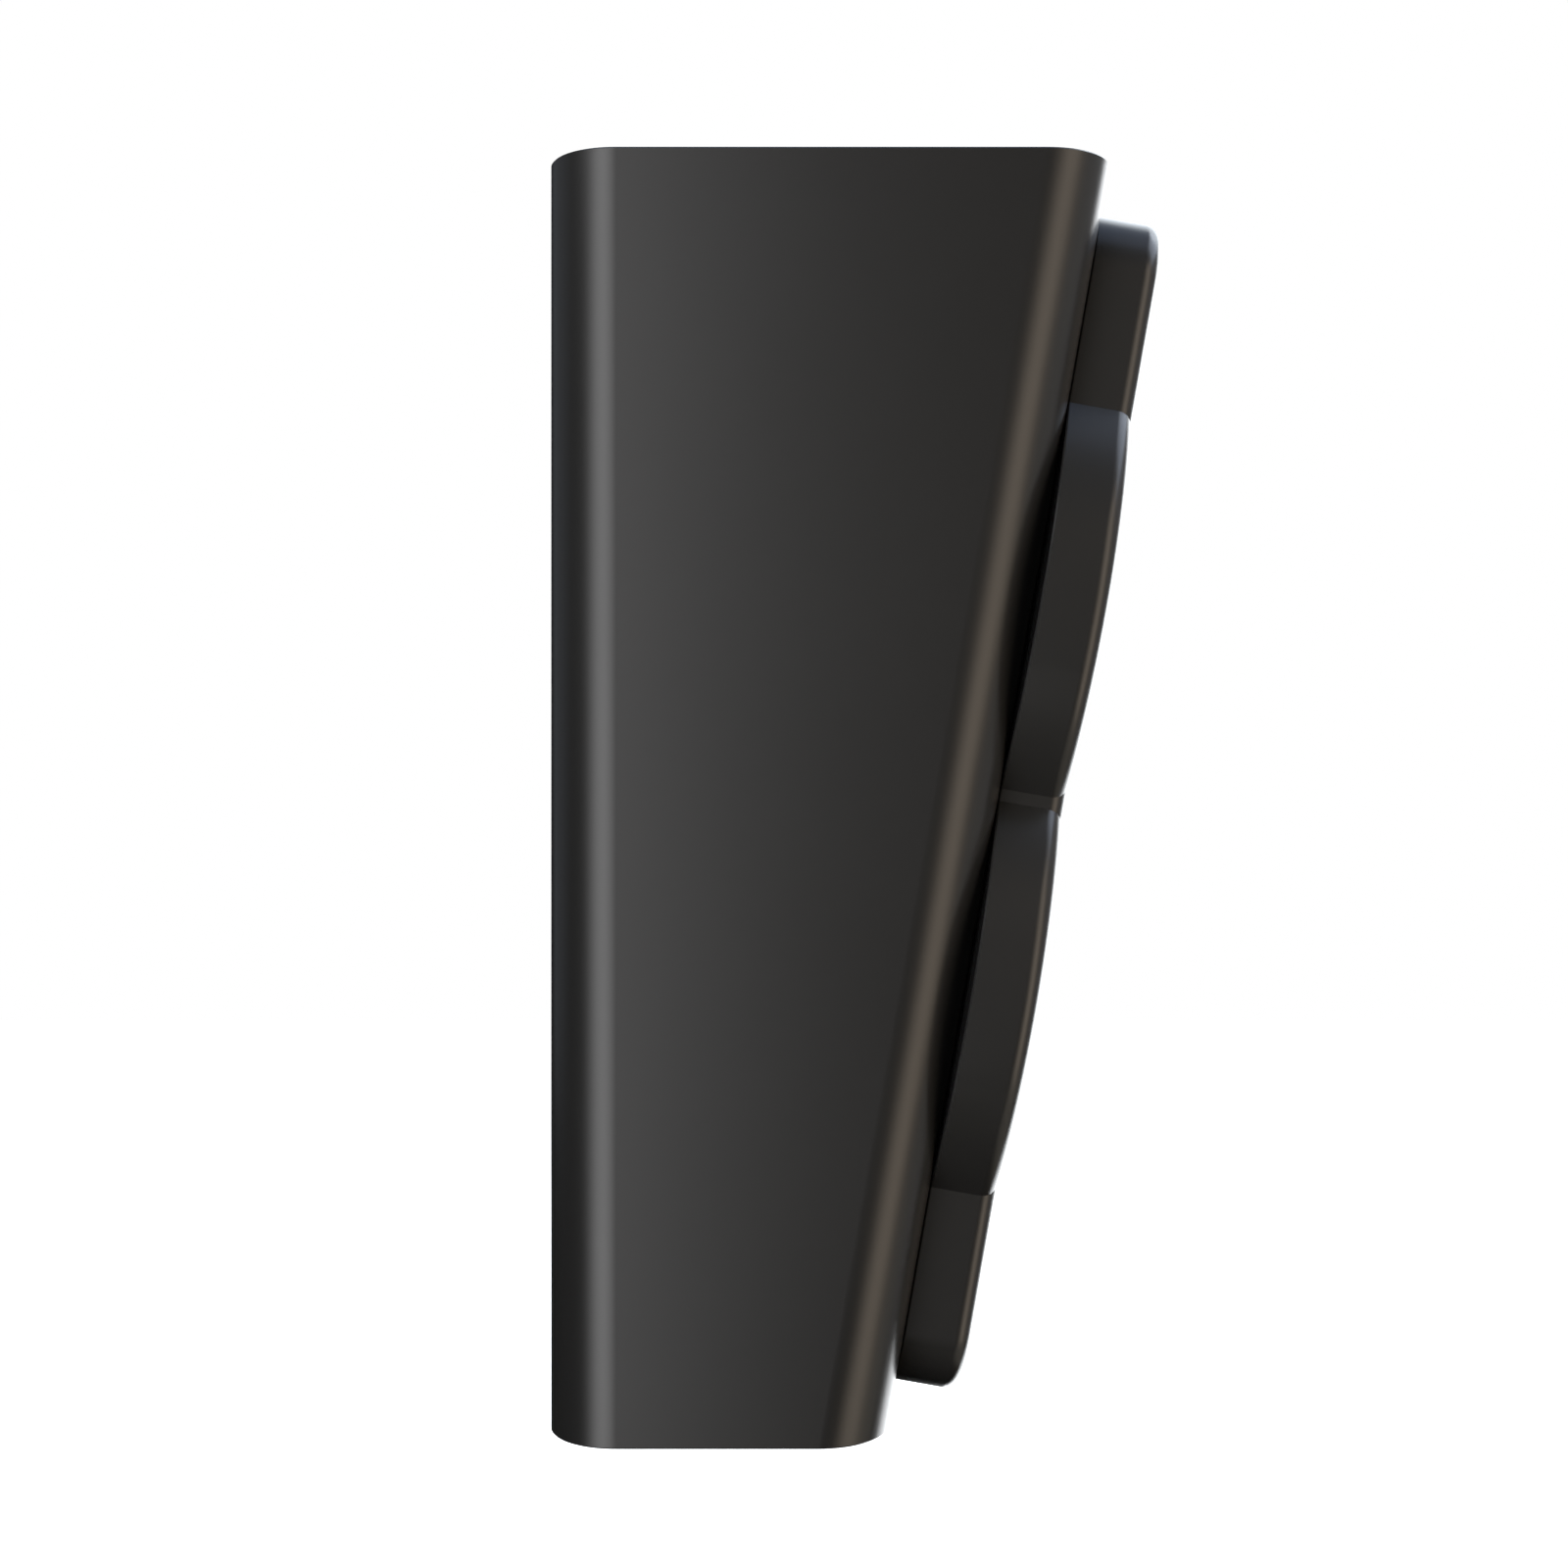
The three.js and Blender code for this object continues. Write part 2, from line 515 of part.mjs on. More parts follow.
function makeModule(side, colour, figure) {
  const z = lensZ[side];
  const [hole, sealFace, sealBack] = DOME.seal;
  place(front, `${colour}_lens_seal`, turned([
    [hole, sealFace], [LENS.flange, sealFace], [LENS.flange, sealBack], [hole, sealBack], [hole, sealFace],
  ], 0, z), FINISH.rubber);
  const outer = [[0, DOME.middle], DOME.waist, DOME.rim, [LENS.flange, DOME.rim[1]]];
  const dome = [...outer, ...outer.map(([radius, y]) => [radius, y + DOME.thick]).reverse()];
  place(front, `${colour}_lens`, turned(dome, 0, z), FINISH.clear);
  const inner = CAN.radius - CAN.wall;
  let can = turned([
    [inner, CAN.face], [LENS.flange, CAN.face], [LENS.flange, CAN.face + CAN.flange],
    [CAN.radius, CAN.face + CAN.flange], [CAN.radius, CAN.shoulder], [CAN.tail, CAN.back], [0, CAN.back],
    [0, CAN.back - CAN.wall], [CAN.tail - CAN.wall, CAN.back - CAN.wall],
    [inner, CAN.shoulder - 1], [inner, CAN.face],
  ], 0, z);
  can = cut(can, bar(GLAND.thread + GAP, CAN.back - 10, CAN.back + 10, GLAND.x, z));
  place(front, `${colour}_can`, can, FINISH.black);
  makeGland(colour, z);
  let mask = bar(DISC.radius, ...DISC.mask, 0, z, 28);
  for (const [x0, z0, x1, z1, radius] of FIGURES[figure]) {
    mask = cut(mask, slab(limb(x0, z + z0, x1, z + z1, radius), 5, -5, 4));
  }
  place(front, `${colour}_figure_mask`, mask, FINISH.black);
  place(front, `${colour}_diffuser`, bar(DISC.radius, ...DISC.diffuser, 0, z, 28), FINISH[colour]);
  makeBoards(colour, z);
  makeRing(side, colour, z);
}

// The gland that the lead leaves the can by: a six-sided collar outside and a neck that reaches into the can.
function makeGland(colour, z) {
  const back = CAN.back + GAP;
  const hole = bar(GLAND.hole, CAN.back - 20, back + GLAND.collar + 1, GLAND.x, z);
  const neck = bar(GLAND.thread, CAN.back - CAN.wall - GLAND.inside, back + 1, GLAND.x, z);
  const collar = bar(GLAND.head, back, back + GLAND.collar, GLAND.x, z, 6);
  place(front, `${colour}_lead_gland`, cut(unite(neck, collar), hole), FINISH.grey);
}

// The board with its lamps in rings, and the board that drives it.
function makeBoards(colour, z) {
  const { face, lamp } = BOARD;
  let board = bar(BOARD.radius, face, BOARD.back, 0, z, 28);
  for (const [radius, count] of BOARD.rings) {
    for (let i = 0; i < count; i++) {
      const angle = (i / count) * 2 * Math.PI;
      const [x, lampZ] = [radius * Math.cos(angle), z + radius * Math.sin(angle)];
      board = unite(board, block([x - lamp, face - lamp, lampZ - lamp], [x + lamp, face + 0.5, lampZ + lamp]));
    }
  }
  place(front, `${colour}_led_board`, board, FINISH.board);
  const { halfWidth, halfHeight } = DRIVER;
  let driver = block([-halfWidth, DRIVER.face, z - halfHeight], [halfWidth, DRIVER.back, z + halfHeight]);
  for (const [x, up, width, height, deep] of DRIVER.parts) {
    const low = [x - width / 2, DRIVER.face - deep, z + up - height / 2];
    const high = [x + width / 2, DRIVER.face + 0.5, z + up + height / 2];
    driver = unite(driver, block(low, high));
  }
  place(front, `${colour}_driver_board`, driver, FINISH.board);
}

// The ring that clamps a module to the door, with three ears and their screws.
function makeRing(side, colour, z) {
  const face = CAN.face + CAN.flange + GAP;
  const back = face + RING.thick;
  let ring = cut(bar(LENS.ring, face, back, 0, z, 28), bar(CAN.radius + 1, face - 5, back + 5, 0, z, 28));
  const ears = ringEars(side);
  for (const [x, earZ] of ears) ring = unite(ring, bar(RING.ear, face, back, x, earZ, 12));
  for (const [x, earZ] of ears) ring = cut(ring, bar(POST.hole, face - 5, back + 5, x, earZ, 8));
  place(front, `${colour}_clamp_ring`, ring, FINISH.zinc);
  ears.forEach(([x, earZ], i) => {
    const headBack = back + GAP + RING.headHigh;
    const head = bar(RING.head, back + GAP, headBack, x, earZ, 12);
    const shank = bar(RING.screw, RING.screwTip, back + 1, x, earZ, 8);
    const slotHalf = RING.head - 1;
    const slot = block(
      [x - slotHalf, headBack - RING.slot, earZ - RING.slot / 2],
      [x + slotHalf, back + 8, earZ + RING.slot / 2]);
    place(front, `${colour}_ring_screw_${i + 1}`, cut(unite(head, shank), slot), FINISH.steel);
  });
}

// Assembly.
makeHousing();
makeCap("top_cap", 1);
makeCap("bottom_cap", -1);
makeVent();
makeBackPlate();
makeGrommet();
makeRail();
makeTerminals();
makeDoor();
for (const side of ["upper", "lower"]) {
  makeHinge(side);
  makeLatch(side);
}
makeModule("upper", "red", "standing");
makeModule("lower", "green", "walking");

export default root;
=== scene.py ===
# A pedestrian signal head: the deep housing, its hinged door with two lamps, and the small parts behind it.
# Shapes are worked out in millimetres, upright or along the leaning front, and placed in metres.
import json
import math

import bmesh
import bpy
import numpy as np
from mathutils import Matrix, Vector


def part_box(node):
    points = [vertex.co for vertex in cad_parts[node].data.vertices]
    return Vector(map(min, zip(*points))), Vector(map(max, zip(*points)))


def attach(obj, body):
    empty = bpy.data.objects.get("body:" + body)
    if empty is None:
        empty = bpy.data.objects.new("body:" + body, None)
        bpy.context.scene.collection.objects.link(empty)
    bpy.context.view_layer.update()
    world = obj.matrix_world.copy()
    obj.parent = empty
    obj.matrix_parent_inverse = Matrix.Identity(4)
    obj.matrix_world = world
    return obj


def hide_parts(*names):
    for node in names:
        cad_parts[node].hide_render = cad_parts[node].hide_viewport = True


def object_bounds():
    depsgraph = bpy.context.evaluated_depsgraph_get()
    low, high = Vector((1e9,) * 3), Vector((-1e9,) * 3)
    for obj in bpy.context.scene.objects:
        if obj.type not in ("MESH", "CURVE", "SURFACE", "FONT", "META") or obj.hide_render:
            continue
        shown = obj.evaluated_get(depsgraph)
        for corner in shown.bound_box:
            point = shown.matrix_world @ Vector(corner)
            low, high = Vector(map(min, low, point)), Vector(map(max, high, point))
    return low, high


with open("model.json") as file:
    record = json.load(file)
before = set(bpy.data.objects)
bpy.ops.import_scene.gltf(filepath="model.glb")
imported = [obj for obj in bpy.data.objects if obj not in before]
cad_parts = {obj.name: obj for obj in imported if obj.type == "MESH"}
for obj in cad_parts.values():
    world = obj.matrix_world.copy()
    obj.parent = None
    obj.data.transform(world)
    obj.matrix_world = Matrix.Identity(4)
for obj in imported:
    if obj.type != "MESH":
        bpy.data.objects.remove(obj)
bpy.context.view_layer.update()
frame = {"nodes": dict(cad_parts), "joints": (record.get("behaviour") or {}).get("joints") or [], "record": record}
print("frame loaded:", len(frame["nodes"]), "parts")

metre = 1000.0  # millimetres in a metre
hingeAxis = next(joint["axis"] for joint in frame["joints"] if joint["name"] == "door_swing")
lean = math.atan2(-hingeAxis[1], hingeAxis[2])  # how far the front leans towards the ground
leanTurn = np.array([[1, 0, 0], [0, math.cos(lean), math.sin(lean)], [0, -math.sin(lean), math.cos(lean)]])


def uprightBox(node):  # lowest and highest corner of a CAD part in millimetres
    low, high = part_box(node)
    return np.array(low) * metre, np.array(high) * metre


shellLow, shellHigh = uprightBox("housing_shell")
halfHeight = shellHigh[2]
halfWidth = shellHigh[0]
depth = -shellLow[1] - halfHeight * math.tan(lean)  # from the back to the front at half height
frontOrigin = np.array([0, -depth, 0])


def upright(points):
    return points / metre


def leaning(points):  # x across, y into the housing, z up along the front
    return (points @ leanTurn + frontOrigin) / metre


def leaningBox(node):
    mesh = frame["nodes"][node].data
    points = np.zeros(len(mesh.vertices) * 3)
    mesh.vertices.foreach_get("co", points)
    points = (points.reshape(-1, 3) * metre - frontOrigin) @ leanTurn.T
    return points.min(0), points.max(0)


# The camera stands level beside the object; its distances are in millimetres.
cameraSettings = {"lens": 47.25, "sensor": 36.0, "standOff": 1105.3, "fromBack": 129.2, "aboveMiddle": 7.5}


def makeCamera(settings):
    data = bpy.data.cameras.new("camera")
    data.lens = settings["lens"]
    data.sensor_width = settings["sensor"]
    camera = bpy.data.objects.new("camera", data)
    place = np.array([-halfWidth - settings["standOff"], -settings["fromBack"], settings["aboveMiddle"]])
    camera.location = upright(place)
    camera.rotation_euler = (math.pi / 2, 0, -math.pi / 2)  # level, looking along +X at the side
    bpy.context.scene.collection.objects.link(camera)
    bpy.context.scene.camera = camera


makeCamera(cameraSettings)


class Wire:  # an output socket; +, -, * and ** between wires and numbers add Math nodes
    def __init__(self, paint, socket):
        self.paint, self.socket = paint, socket

    def math(self, operation, *terms):
        return self.paint.node("Math", {"operation": operation}, dict(enumerate(terms)))

    def __add__(self, other):
        return self.math("ADD", self, other)

    def __sub__(self, other):
        return self.math("SUBTRACT", self, other)

    def __rsub__(self, other):
        return self.math("SUBTRACT", other, self)

    def __mul__(self, other):
        return self.math("MULTIPLY", self, other)

    def __pow__(self, other):
        return self.math("POWER", self, other)

    __radd__ = __add__
    __rmul__ = __mul__

    def clamped(self):
        return self.math("MINIMUM", self.math("MAXIMUM", self, 0.0), 1.0)


class Paint:  # the nodes of one material or world: a shader, and the nodes that feed it
    def __init__(self, name, world=None, **settings):
        self.material = world or bpy.data.materials.new(name)
        self.material.use_nodes = True
        self.tree = self.material.node_tree
        self.shader = self.tree.nodes["Background" if world else "Principled BSDF"]
        for key, value in settings.items():
            self.feed(self.shader.inputs[key], value)

    def feed(self, socket, value):
        if isinstance(value, Wire):
            self.tree.links.new(value.socket, socket)
        else:
            socket.default_value = value

    def node(self, kind, settings=None, values=None, out=0):
        made = self.tree.nodes.new("ShaderNode" + kind)
        for key, value in (settings or {}).items():
            if key == "stops":
                for i, (place, colour) in enumerate(value):
                    stop = made.color_ramp.elements[i] if i < 2 else made.color_ramp.elements.new(place)
                    stop.position, stop.color = place, (*colour, 1)
            else:
                setattr(made, key, value)
        for key, value in (values or {}).items():
            self.feed(made.inputs[key], value)
        return Wire(self, made.outputs[out])

    def place(self, turn=(0, 0, 0), scale=(1, 1, 1)):  # object coordinates, turned and stretched
        source = self.node("TexCoord", out=3)
        return self.node("Mapping", {}, {"Vector": source, "Rotation": turn, "Scale": scale})

    def noise(self, scale, detail=3.0, rough=0.55, where=None):
        where = where or self.place()
        values = {"Vector": where, "Scale": scale, "Detail": detail, "Roughness": rough}
        return self.node("TexNoise", {}, values)

    def blend(self, amount, first, second):  # a colour between two colours
        values = {0: amount, 6: first, 7: second}
        return self.node("Mix", {"data_type": "RGBA"}, values, out=2)

    def bump(self, height, depth):  # depth in millimetres
        values = {"Height": height, "Distance": depth / metre, "Strength": 1.0}
        self.feed(self.shader.inputs["Normal"], self.node("Bump", {}, values))

    def use(self, **inputs):
        for key, value in inputs.items():
            self.feed(self.shader.inputs[key.replace("_", " ")], value)
        return self.material


def colour(red, green, blue):
    return (red, green, blue, 1.0)


def greyed(shade, factor):
    return colour(*(channel * factor for channel in shade[:3]))


# A dark satin coat. Its roughness changes little, because below about 0.27 it shines in specks.
coatLook = {
    "shade": colour(0.0172, 0.0169, 0.0164), "darkest": 0.72, "lightest": 1.28,
    "rough": 0.292, "roughClouds": 0.024, "roughMarks": 0.012,
    "cloud": 0.12, "cloudScale": 9.0, "markScale": 70.0, "grain": 0.004, "grainScale": 360,
}


def makeCoat(name, look):  # soft clouds and small marks in the shade, a fine moulded grain
    paint = Paint(name)
    shade = look["shade"]
    clouds = paint.noise(look["cloudScale"], 4.0)
    fine = paint.noise(look["grainScale"], 2.0)
    marks = paint.noise(look["markScale"], 5.0, 0.7)
    tone = (clouds - 0.5) * look["cloud"] + (marks - 0.5) * (look["cloud"] * 0.5) + 0.5
    base = paint.blend(tone.clamped(), greyed(shade, look["darkest"]), greyed(shade, look["lightest"]))
    paint.bump(fine, look["grain"])
    rough = look["rough"] + (clouds - 0.5) * look["roughClouds"] + (marks - 0.5) * look["roughMarks"]
    return paint.use(Base_Color=base, Roughness=rough)


metalLook = {
    "streakScale": 220.0, "patchScale": 38.0, "flakeScale": 130.0, "patch": 0.7, "dullest": 0.8,
    "groove": 0.01, "roughStreaks": 0.16, "roughPatches": 0.1,
}


def makeMetal(name, shade, rough, stretch, spangle=0.0):  # drawn or plated: streaks along one way, dull patches
    paint = Paint(name, Metallic=1.0)
    look = metalLook
    streaks = paint.noise(look["streakScale"], 4.0, 0.6, paint.place(scale=stretch))
    patches = paint.noise(look["patchScale"], 3.0)
    flakes = paint.node("TexVoronoi", {}, {"Vector": paint.place(), "Scale": look["flakeScale"]})
    tone = (patches * look["patch"] + flakes * spangle).clamped()
    base = paint.blend(tone, greyed(shade, look["dullest"]), shade)
    paint.bump(streaks, look["groove"])
    rough = rough + (streaks - 0.5) * look["roughStreaks"] + (patches - 0.5) * look["roughPatches"]
    return paint.use(Base_Color=base, Roughness=rough)


mouldedLook = {"flowScale": 22.0, "darkest": 0.85, "lightest": 1.15, "roughFlow": 0.08}


def makeMoulded(name, shade, rough, grain=0.02, scale=1500.0):  # plain plastic with a faint spark-eroded grain
    paint = Paint(name)
    look = mouldedLook
    fine = paint.noise(scale, 3.0)
    flow = paint.noise(look["flowScale"], 3.0)
    paint.bump(fine, grain)
    base = paint.blend(flow, greyed(shade, look["darkest"]), greyed(shade, look["lightest"]))
    return paint.use(Base_Color=base, Roughness=rough + (flow - 0.5) * look["roughFlow"])


rubberLook = {
    "bloomScale": 60.0, "poreScale": 900.0, "poreDepth": 0.03,
    "lightest": 2.6, "rough": 0.72, "roughBloom": 0.15,
}


def makeRubber(name, shade):  # matt rubber with a dusty bloom
    paint = Paint(name)
    look = rubberLook
    bloom = paint.noise(look["bloomScale"], 5.0, 0.7)
    paint.bump(paint.noise(look["poreScale"], 3.0), look["poreDepth"])
    base = paint.blend(bloom ** 2.0, shade, greyed(shade, look["lightest"]))
    return paint.use(Base_Color=base, Roughness=look["rough"] + bloom * look["roughBloom"])


lensLook = {"bending": 1.585, "edge": 0.9, "hazeScale": 45.0, "haze": 0.03, "rough": 0.045, "roughHaze": 0.03}


def makeLensPlastic(name, shade, clear):  # clear dome: nearly see-through face on, bright at a low angle
    look = lensLook
    paint = Paint(name, **{"IOR": look["bending"], "Coat Weight": 0.0})
    edge = paint.node("Fresnel", {}, {"IOR": look["bending"]})
    haze = paint.noise(look["hazeScale"], 4.0)
    alpha = (clear + edge * look["edge"] + (haze - 0.5) * look["haze"]).clamped()
    return paint.use(Base_Color=shade, Roughness=look["rough"] + haze * look["roughHaze"], Alpha=alpha)


diffuserLook = {
    "coat": 0.3, "cell": 6.0, "curve": 3.6, "rise": 1.1, "darkest": 0.35, "rough": 0.3, "roughDome": 0.12,
}


def makeDiffuser(name, shade):  # coloured plastic moulded into rows of small round lenses
    look = diffuserLook
    paint = Paint(name, **{"Coat Weight": look["coat"]})
    flat = paint.place(turn=(-math.pi / 2 - lean, 0, 0))
    values = {"Vector": flat, "Scale": metre / look["cell"], "Randomness": 0.0}
    cells = paint.node("TexVoronoi", {"voronoi_dimensions": "2D"}, values)
    dome = (1.0 - cells ** 2.0 * look["curve"]).clamped()
    paint.bump(dome, look["rise"])
    # painted shade: the colour darkens towards the edge of each small lens, into the valleys between them
    base = paint.blend(dome, greyed(shade, look["darkest"]), shade)
    return paint.use(Base_Color=base, Roughness=look["rough"] - dome * look["roughDome"])


boardLook = {"trackScale": 90.0, "line": 0.03, "rise": 0.05, "lightest": 2.2, "rough": 0.34, "roughTracks": 0.1}


def makeBoard(name, shade):  # solder mask over copper tracks
    look = boardLook
    paint = Paint(name)
    flat = paint.place(turn=(-math.pi / 2 - lean, 0, 0))
    tracks = paint.node("TexBrick", {}, {
        "Vector": flat, "Scale": look["trackScale"], "Mortar Size": look["line"],
        "Color1": colour(0, 0, 0), "Color2": colour(0.15, 0.15, 0.15), "Mortar": colour(1, 1, 1),
    })
    amount = paint.node("RGBToBW", {}, {0: tracks})
    paint.bump(amount, look["rise"])
    base = paint.blend(amount, shade, greyed(shade, look["lightest"]))
    return paint.use(Base_Color=base, Roughness=look["rough"] + amount * look["roughTracks"])


finishes = {
    "housing_coat": makeCoat("housingCoat", coatLook),
    "door_coat": makeCoat("doorCoat", {**coatLook, "shade": colour(0.0185, 0.0183, 0.0178), "rough": 0.30}),
    "hinge_coat": makeCoat("hingeCoat", {**coatLook, "grain": 0.012, "grainScale": 420}),
    "stainless_steel": makeMetal("stainlessSteel", colour(0.60, 0.59, 0.57), 0.27, (1, 1, 0.2)),
    "zinc_steel": makeMetal("zincSteel", colour(0.55, 0.56, 0.57), 0.38, (0.3, 1, 1), 0.6),
    "seal_rubber": makeRubber("sealRubber", colour(0.011, 0.011, 0.011)),
    "black_plastic": makeMoulded("blackPlastic", colour(0.013, 0.013, 0.013), 0.5),
    "grey_plastic": makeMoulded("greyPlastic", colour(0.17, 0.178, 0.185), 0.45),
    "can_plastic": makeMoulded("canPlastic", colour(0.016, 0.016, 0.017), 0.42, 0.05, 700.0),
    "mask_black": makeMoulded("maskBlack", colour(0.006, 0.006, 0.006), 0.78),
    "clear_lens": makeLensPlastic("clearLens", colour(0.03, 0.031, 0.033), 0.10),
    "red_diffuser": makeDiffuser("redDiffuser", colour(0.62, 0.024, 0.014)),
    "green_diffuser": makeDiffuser("greenDiffuser", colour(0.012, 0.46, 0.2)),
    "circuit_board": makeBoard("circuitBoard", colour(0.012, 0.11, 0.045)),
}
slotOf = {part["node"]: part["material_slot"] for part in frame["record"]["subparts"]}
for node, part in frame["nodes"].items():
    part.data.materials.clear()
    part.data.materials.append(finishes[slotOf[node]])
print("finishes made:", len(finishes))


# Surfaces are in millimetres: each function gives points and faces, or an outline and its outward directions.
def skin(rings, loop=False):
    # a face between each pair of neighbours on one closed outline and the next; loop joins the last outline
    # to the first, and without it both ends are closed
    count, around = rings.shape[:2]
    index = np.arange(count * around).reshape(count, around)
    lower, upper = (index, np.roll(index, -1, 0)) if loop else (index[:-1], index[1:])
    quads = np.stack([lower, np.roll(lower, -1, 1), np.roll(upper, -1, 1), upper], -1).reshape(-1, 4)
    ends = [] if loop else [index[0, ::-1].tolist(), index[-1].tolist()]
    return rings.reshape(-1, 3), quads.tolist() + ends


def turned(profile, centre=(0, 0, 0), along=1, around=96, loop=False):
    # point = centre + radius * (cos, sin) across the axis + height along it, for each [radius, height]
    profile = np.asarray(profile, float)
    angle = np.linspace(0, 2 * math.pi, around, endpoint=False)
    rings = np.zeros((len(profile), around, 3))
    first, second = [axis for axis in range(3) if axis != along]
    rings[..., first] = profile[:, :1] * np.cos(angle)
    rings[..., second] = profile[:, :1] * np.sin(angle)
    rings[..., along] = profile[:, 1:]
    return skin(rings + np.array(centre), loop)


def roundedOutline(width, height, corner, steps=12):
    # point = centre of the corner + corner radius * (cos, sin), over a quarter turn at each of four corners
    angle = (np.arange(4)[:, None] * 90 + np.linspace(0, 90, steps + 1)) * math.pi / 180
    sides = np.array([[1, 1], [-1, 1], [-1, -1], [1, -1]])[:, None]
    direction = np.stack([np.cos(angle), np.sin(angle)], -1)
    points = sides * [width / 2 - corner, height / 2 - corner] + corner * direction
    return points.reshape(-1, 2), direction.reshape(-1, 2)


def circleOutline(radius, steps=160):  # point = radius * (cos, sin) over a whole turn
    angle = np.linspace(0, 2 * math.pi, steps, endpoint=False)
    direction = np.stack([np.cos(angle), np.sin(angle)], -1)
    return direction * radius, direction


def limbOutline(start, end, radius, steps=20):
    # point = end + radius * (cos, sin) over the half turn that faces away, then the same about the start
    start, end = np.array(start, float), np.array(end, float)
    turn = math.atan2(*(end - start)[::-1])
    angle = turn + np.stack([np.linspace(-90, 90, steps), np.linspace(90, 270, steps)]) * math.pi / 180
    direction = np.stack([np.cos(angle), np.sin(angle)], -1)
    points = np.stack([end, start])[:, None] + radius * direction
    return points.reshape(-1, 2), direction.reshape(-1, 2)


def carried(outline, profile, centre=(0, 0), along=1, loop=False):
    # each outline point moved inwards by the inset and along the axis by the height, for each [inset, height]
    points, direction = outline
    profile = np.asarray(profile, float)
    flat = points + np.array(centre) - direction * profile[:, 0, None, None]
    rings = np.insert(flat, along, np.broadcast_to(profile[:, 1, None], flat.shape[:2]), axis=2)
    return skin(rings, loop)


def block(low, high):  # four upright edges at plus and minus half the size about the middle
    low, high = np.array(low, float), np.array(high, float)
    size, middle = high - low, (high + low) / 2
    corners = np.array([[1, 1], [-1, 1], [-1, -1], [1, -1]]) / 2 * size[[0, 2]] + middle[[0, 2]]
    return carried((corners, np.zeros((4, 2))), [[0, low[1]], [0, high[1]]])


def roundOver(radius, steps):
    # a quarter round from the side up to the face: inset = radius * (1 - cos), rise = radius * (sin - 1)
    angle = np.linspace(0, math.pi / 2, steps + 1)
    return np.stack([radius * (1 - np.cos(angle)), radius * (np.sin(angle) - 1)], -1)


def addObject(name, surfaces, place):  # one mesh from several surfaces, with its normals outwards
    starts = np.cumsum([0] + [len(points) for points, _ in surfaces])
    points = place(np.concatenate([points for points, _ in surfaces]))
    faces = [[int(start) + corner for corner in face]
             for start, (_, quads) in zip(starts, surfaces) for face in quads]
    mesh = bpy.data.meshes.new(name)
    mesh.from_pydata(points.tolist(), [], faces)
    cleaned = bmesh.new()
    cleaned.from_mesh(mesh)
    bmesh.ops.remove_doubles(cleaned, verts=cleaned.verts, dist=2e-6)
    bmesh.ops.recalc_face_normals(cleaned, faces=cleaned.faces)
    cleaned.to_mesh(mesh)
    cleaned.free()
    made = bpy.data.objects.new(name, mesh)
    bpy.context.scene.collection.objects.link(made)
    return made


def settle(piece):  # replaces the mesh by what its modifiers make of it
    evaluated = piece.evaluated_get(bpy.context.evaluated_depsgraph_get())
    mesh = bpy.data.meshes.new_from_object(evaluated)
    piece.modifiers.clear()
    piece.data = mesh


def combine(piece, *steps):  # each step is ("UNION" or "DIFFERENCE", surfaces, place)
    tools = []
    for i, (operation, surfaces, place) in enumerate(steps):
        tool = addObject(f"{piece.name}.tool{i}", surfaces, place)
        change = piece.modifiers.new("join", "BOOLEAN")
        change.operation, change.solver, change.object = operation, "MANIFOLD", tool
        tools.append(tool)
    settle(piece)
    for tool in tools:
        bpy.data.objects.remove(tool)


def finishPiece(piece, node, body, sharp=32.0, around=()):
    piece.data.materials.clear()
    piece.data.materials.append(finishes[slotOf[node]])
    piece.data.polygons.foreach_set("material_index", np.zeros(len(piece.data.polygons), int))
    piece.data.polygons.foreach_set("use_smooth", np.ones(len(piece.data.polygons), bool))
    piece.data.set_sharp_from_angle(angle=math.radians(sharp))
    weighted = piece.modifiers.new("flats", "WEIGHTED_NORMAL")
    weighted.keep_sharp = True
    settle(piece)
    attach(piece, body)
    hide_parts(node, *around)
    return piece


# The housing: a tube open at both ends, with a cap in each.
housing = {
    "corner": 39.0, "wall": 4.0, "edge": 0.8, "opening": (232.0, 540.0, 20.0), "boss": 8.0, "bossLength": 30.0,
}
capFit = {
    "gap": 0.3, "thick": 4.0, "edge": 0.5, "recess": 4.9, "sink": 2.6, "hole": 2.8,
    "ventGap": 0.3, "ventHole": 7.3,
}
mounting = {"bolts": (75.0, 250.0), "bolt": 4.5, "cable": (0.0, -180.0), "cableHole": 16.0}
through = 20  # how far a cutter reaches past what it cuts
sideScrewHole = 2.8


def housingRings(stations):
    # a level outline at each [height, inset]: length = depth + height * tan(lean), less the inset at both walls
    rings = []
    for height, inset in stations:
        length = depth + height * math.tan(lean) - inset * (1 + 1 / math.cos(lean))
        outline, _ = roundedOutline(2 * (halfWidth - inset), length, housing["corner"] - inset, 20)
        level = np.full((len(outline), 1), height)
        rings.append(np.hstack([outline - [0, inset + length / 2], level]))
    return np.array(rings)


# Round bars, radius * (cos, sin) between two heights: along Z, along Y and along X.
def alongUp(radius, low, high, x, y, around=32):
    return turned([[0, low], [radius, low], [radius, high], [0, high]], (x, y, 0), 2, around)


def alongIn(radius, low, high, x, z, around=32):
    return turned([[0, low], [radius, low], [radius, high], [0, high]], (x, 0, z), 1, around)


def alongSide(radius, low, high, y, z, around=32):
    return turned([[0, low], [radius, low], [radius, high], [0, high]], (0, y, z), 0, around)


capScrews = {end: [uprightBox(f"{end}_cap_screw_{i}") for i in (1, 2, 3, 4)] for end in ("top", "bottom")}
hingeScrews = {side: [leaningBox(f"hinge_screw_{side}_{i}") for i in (1, 2)] for side in ("upper", "lower")}


def middleOf(box):
    return (box[0] + box[1]) / 2


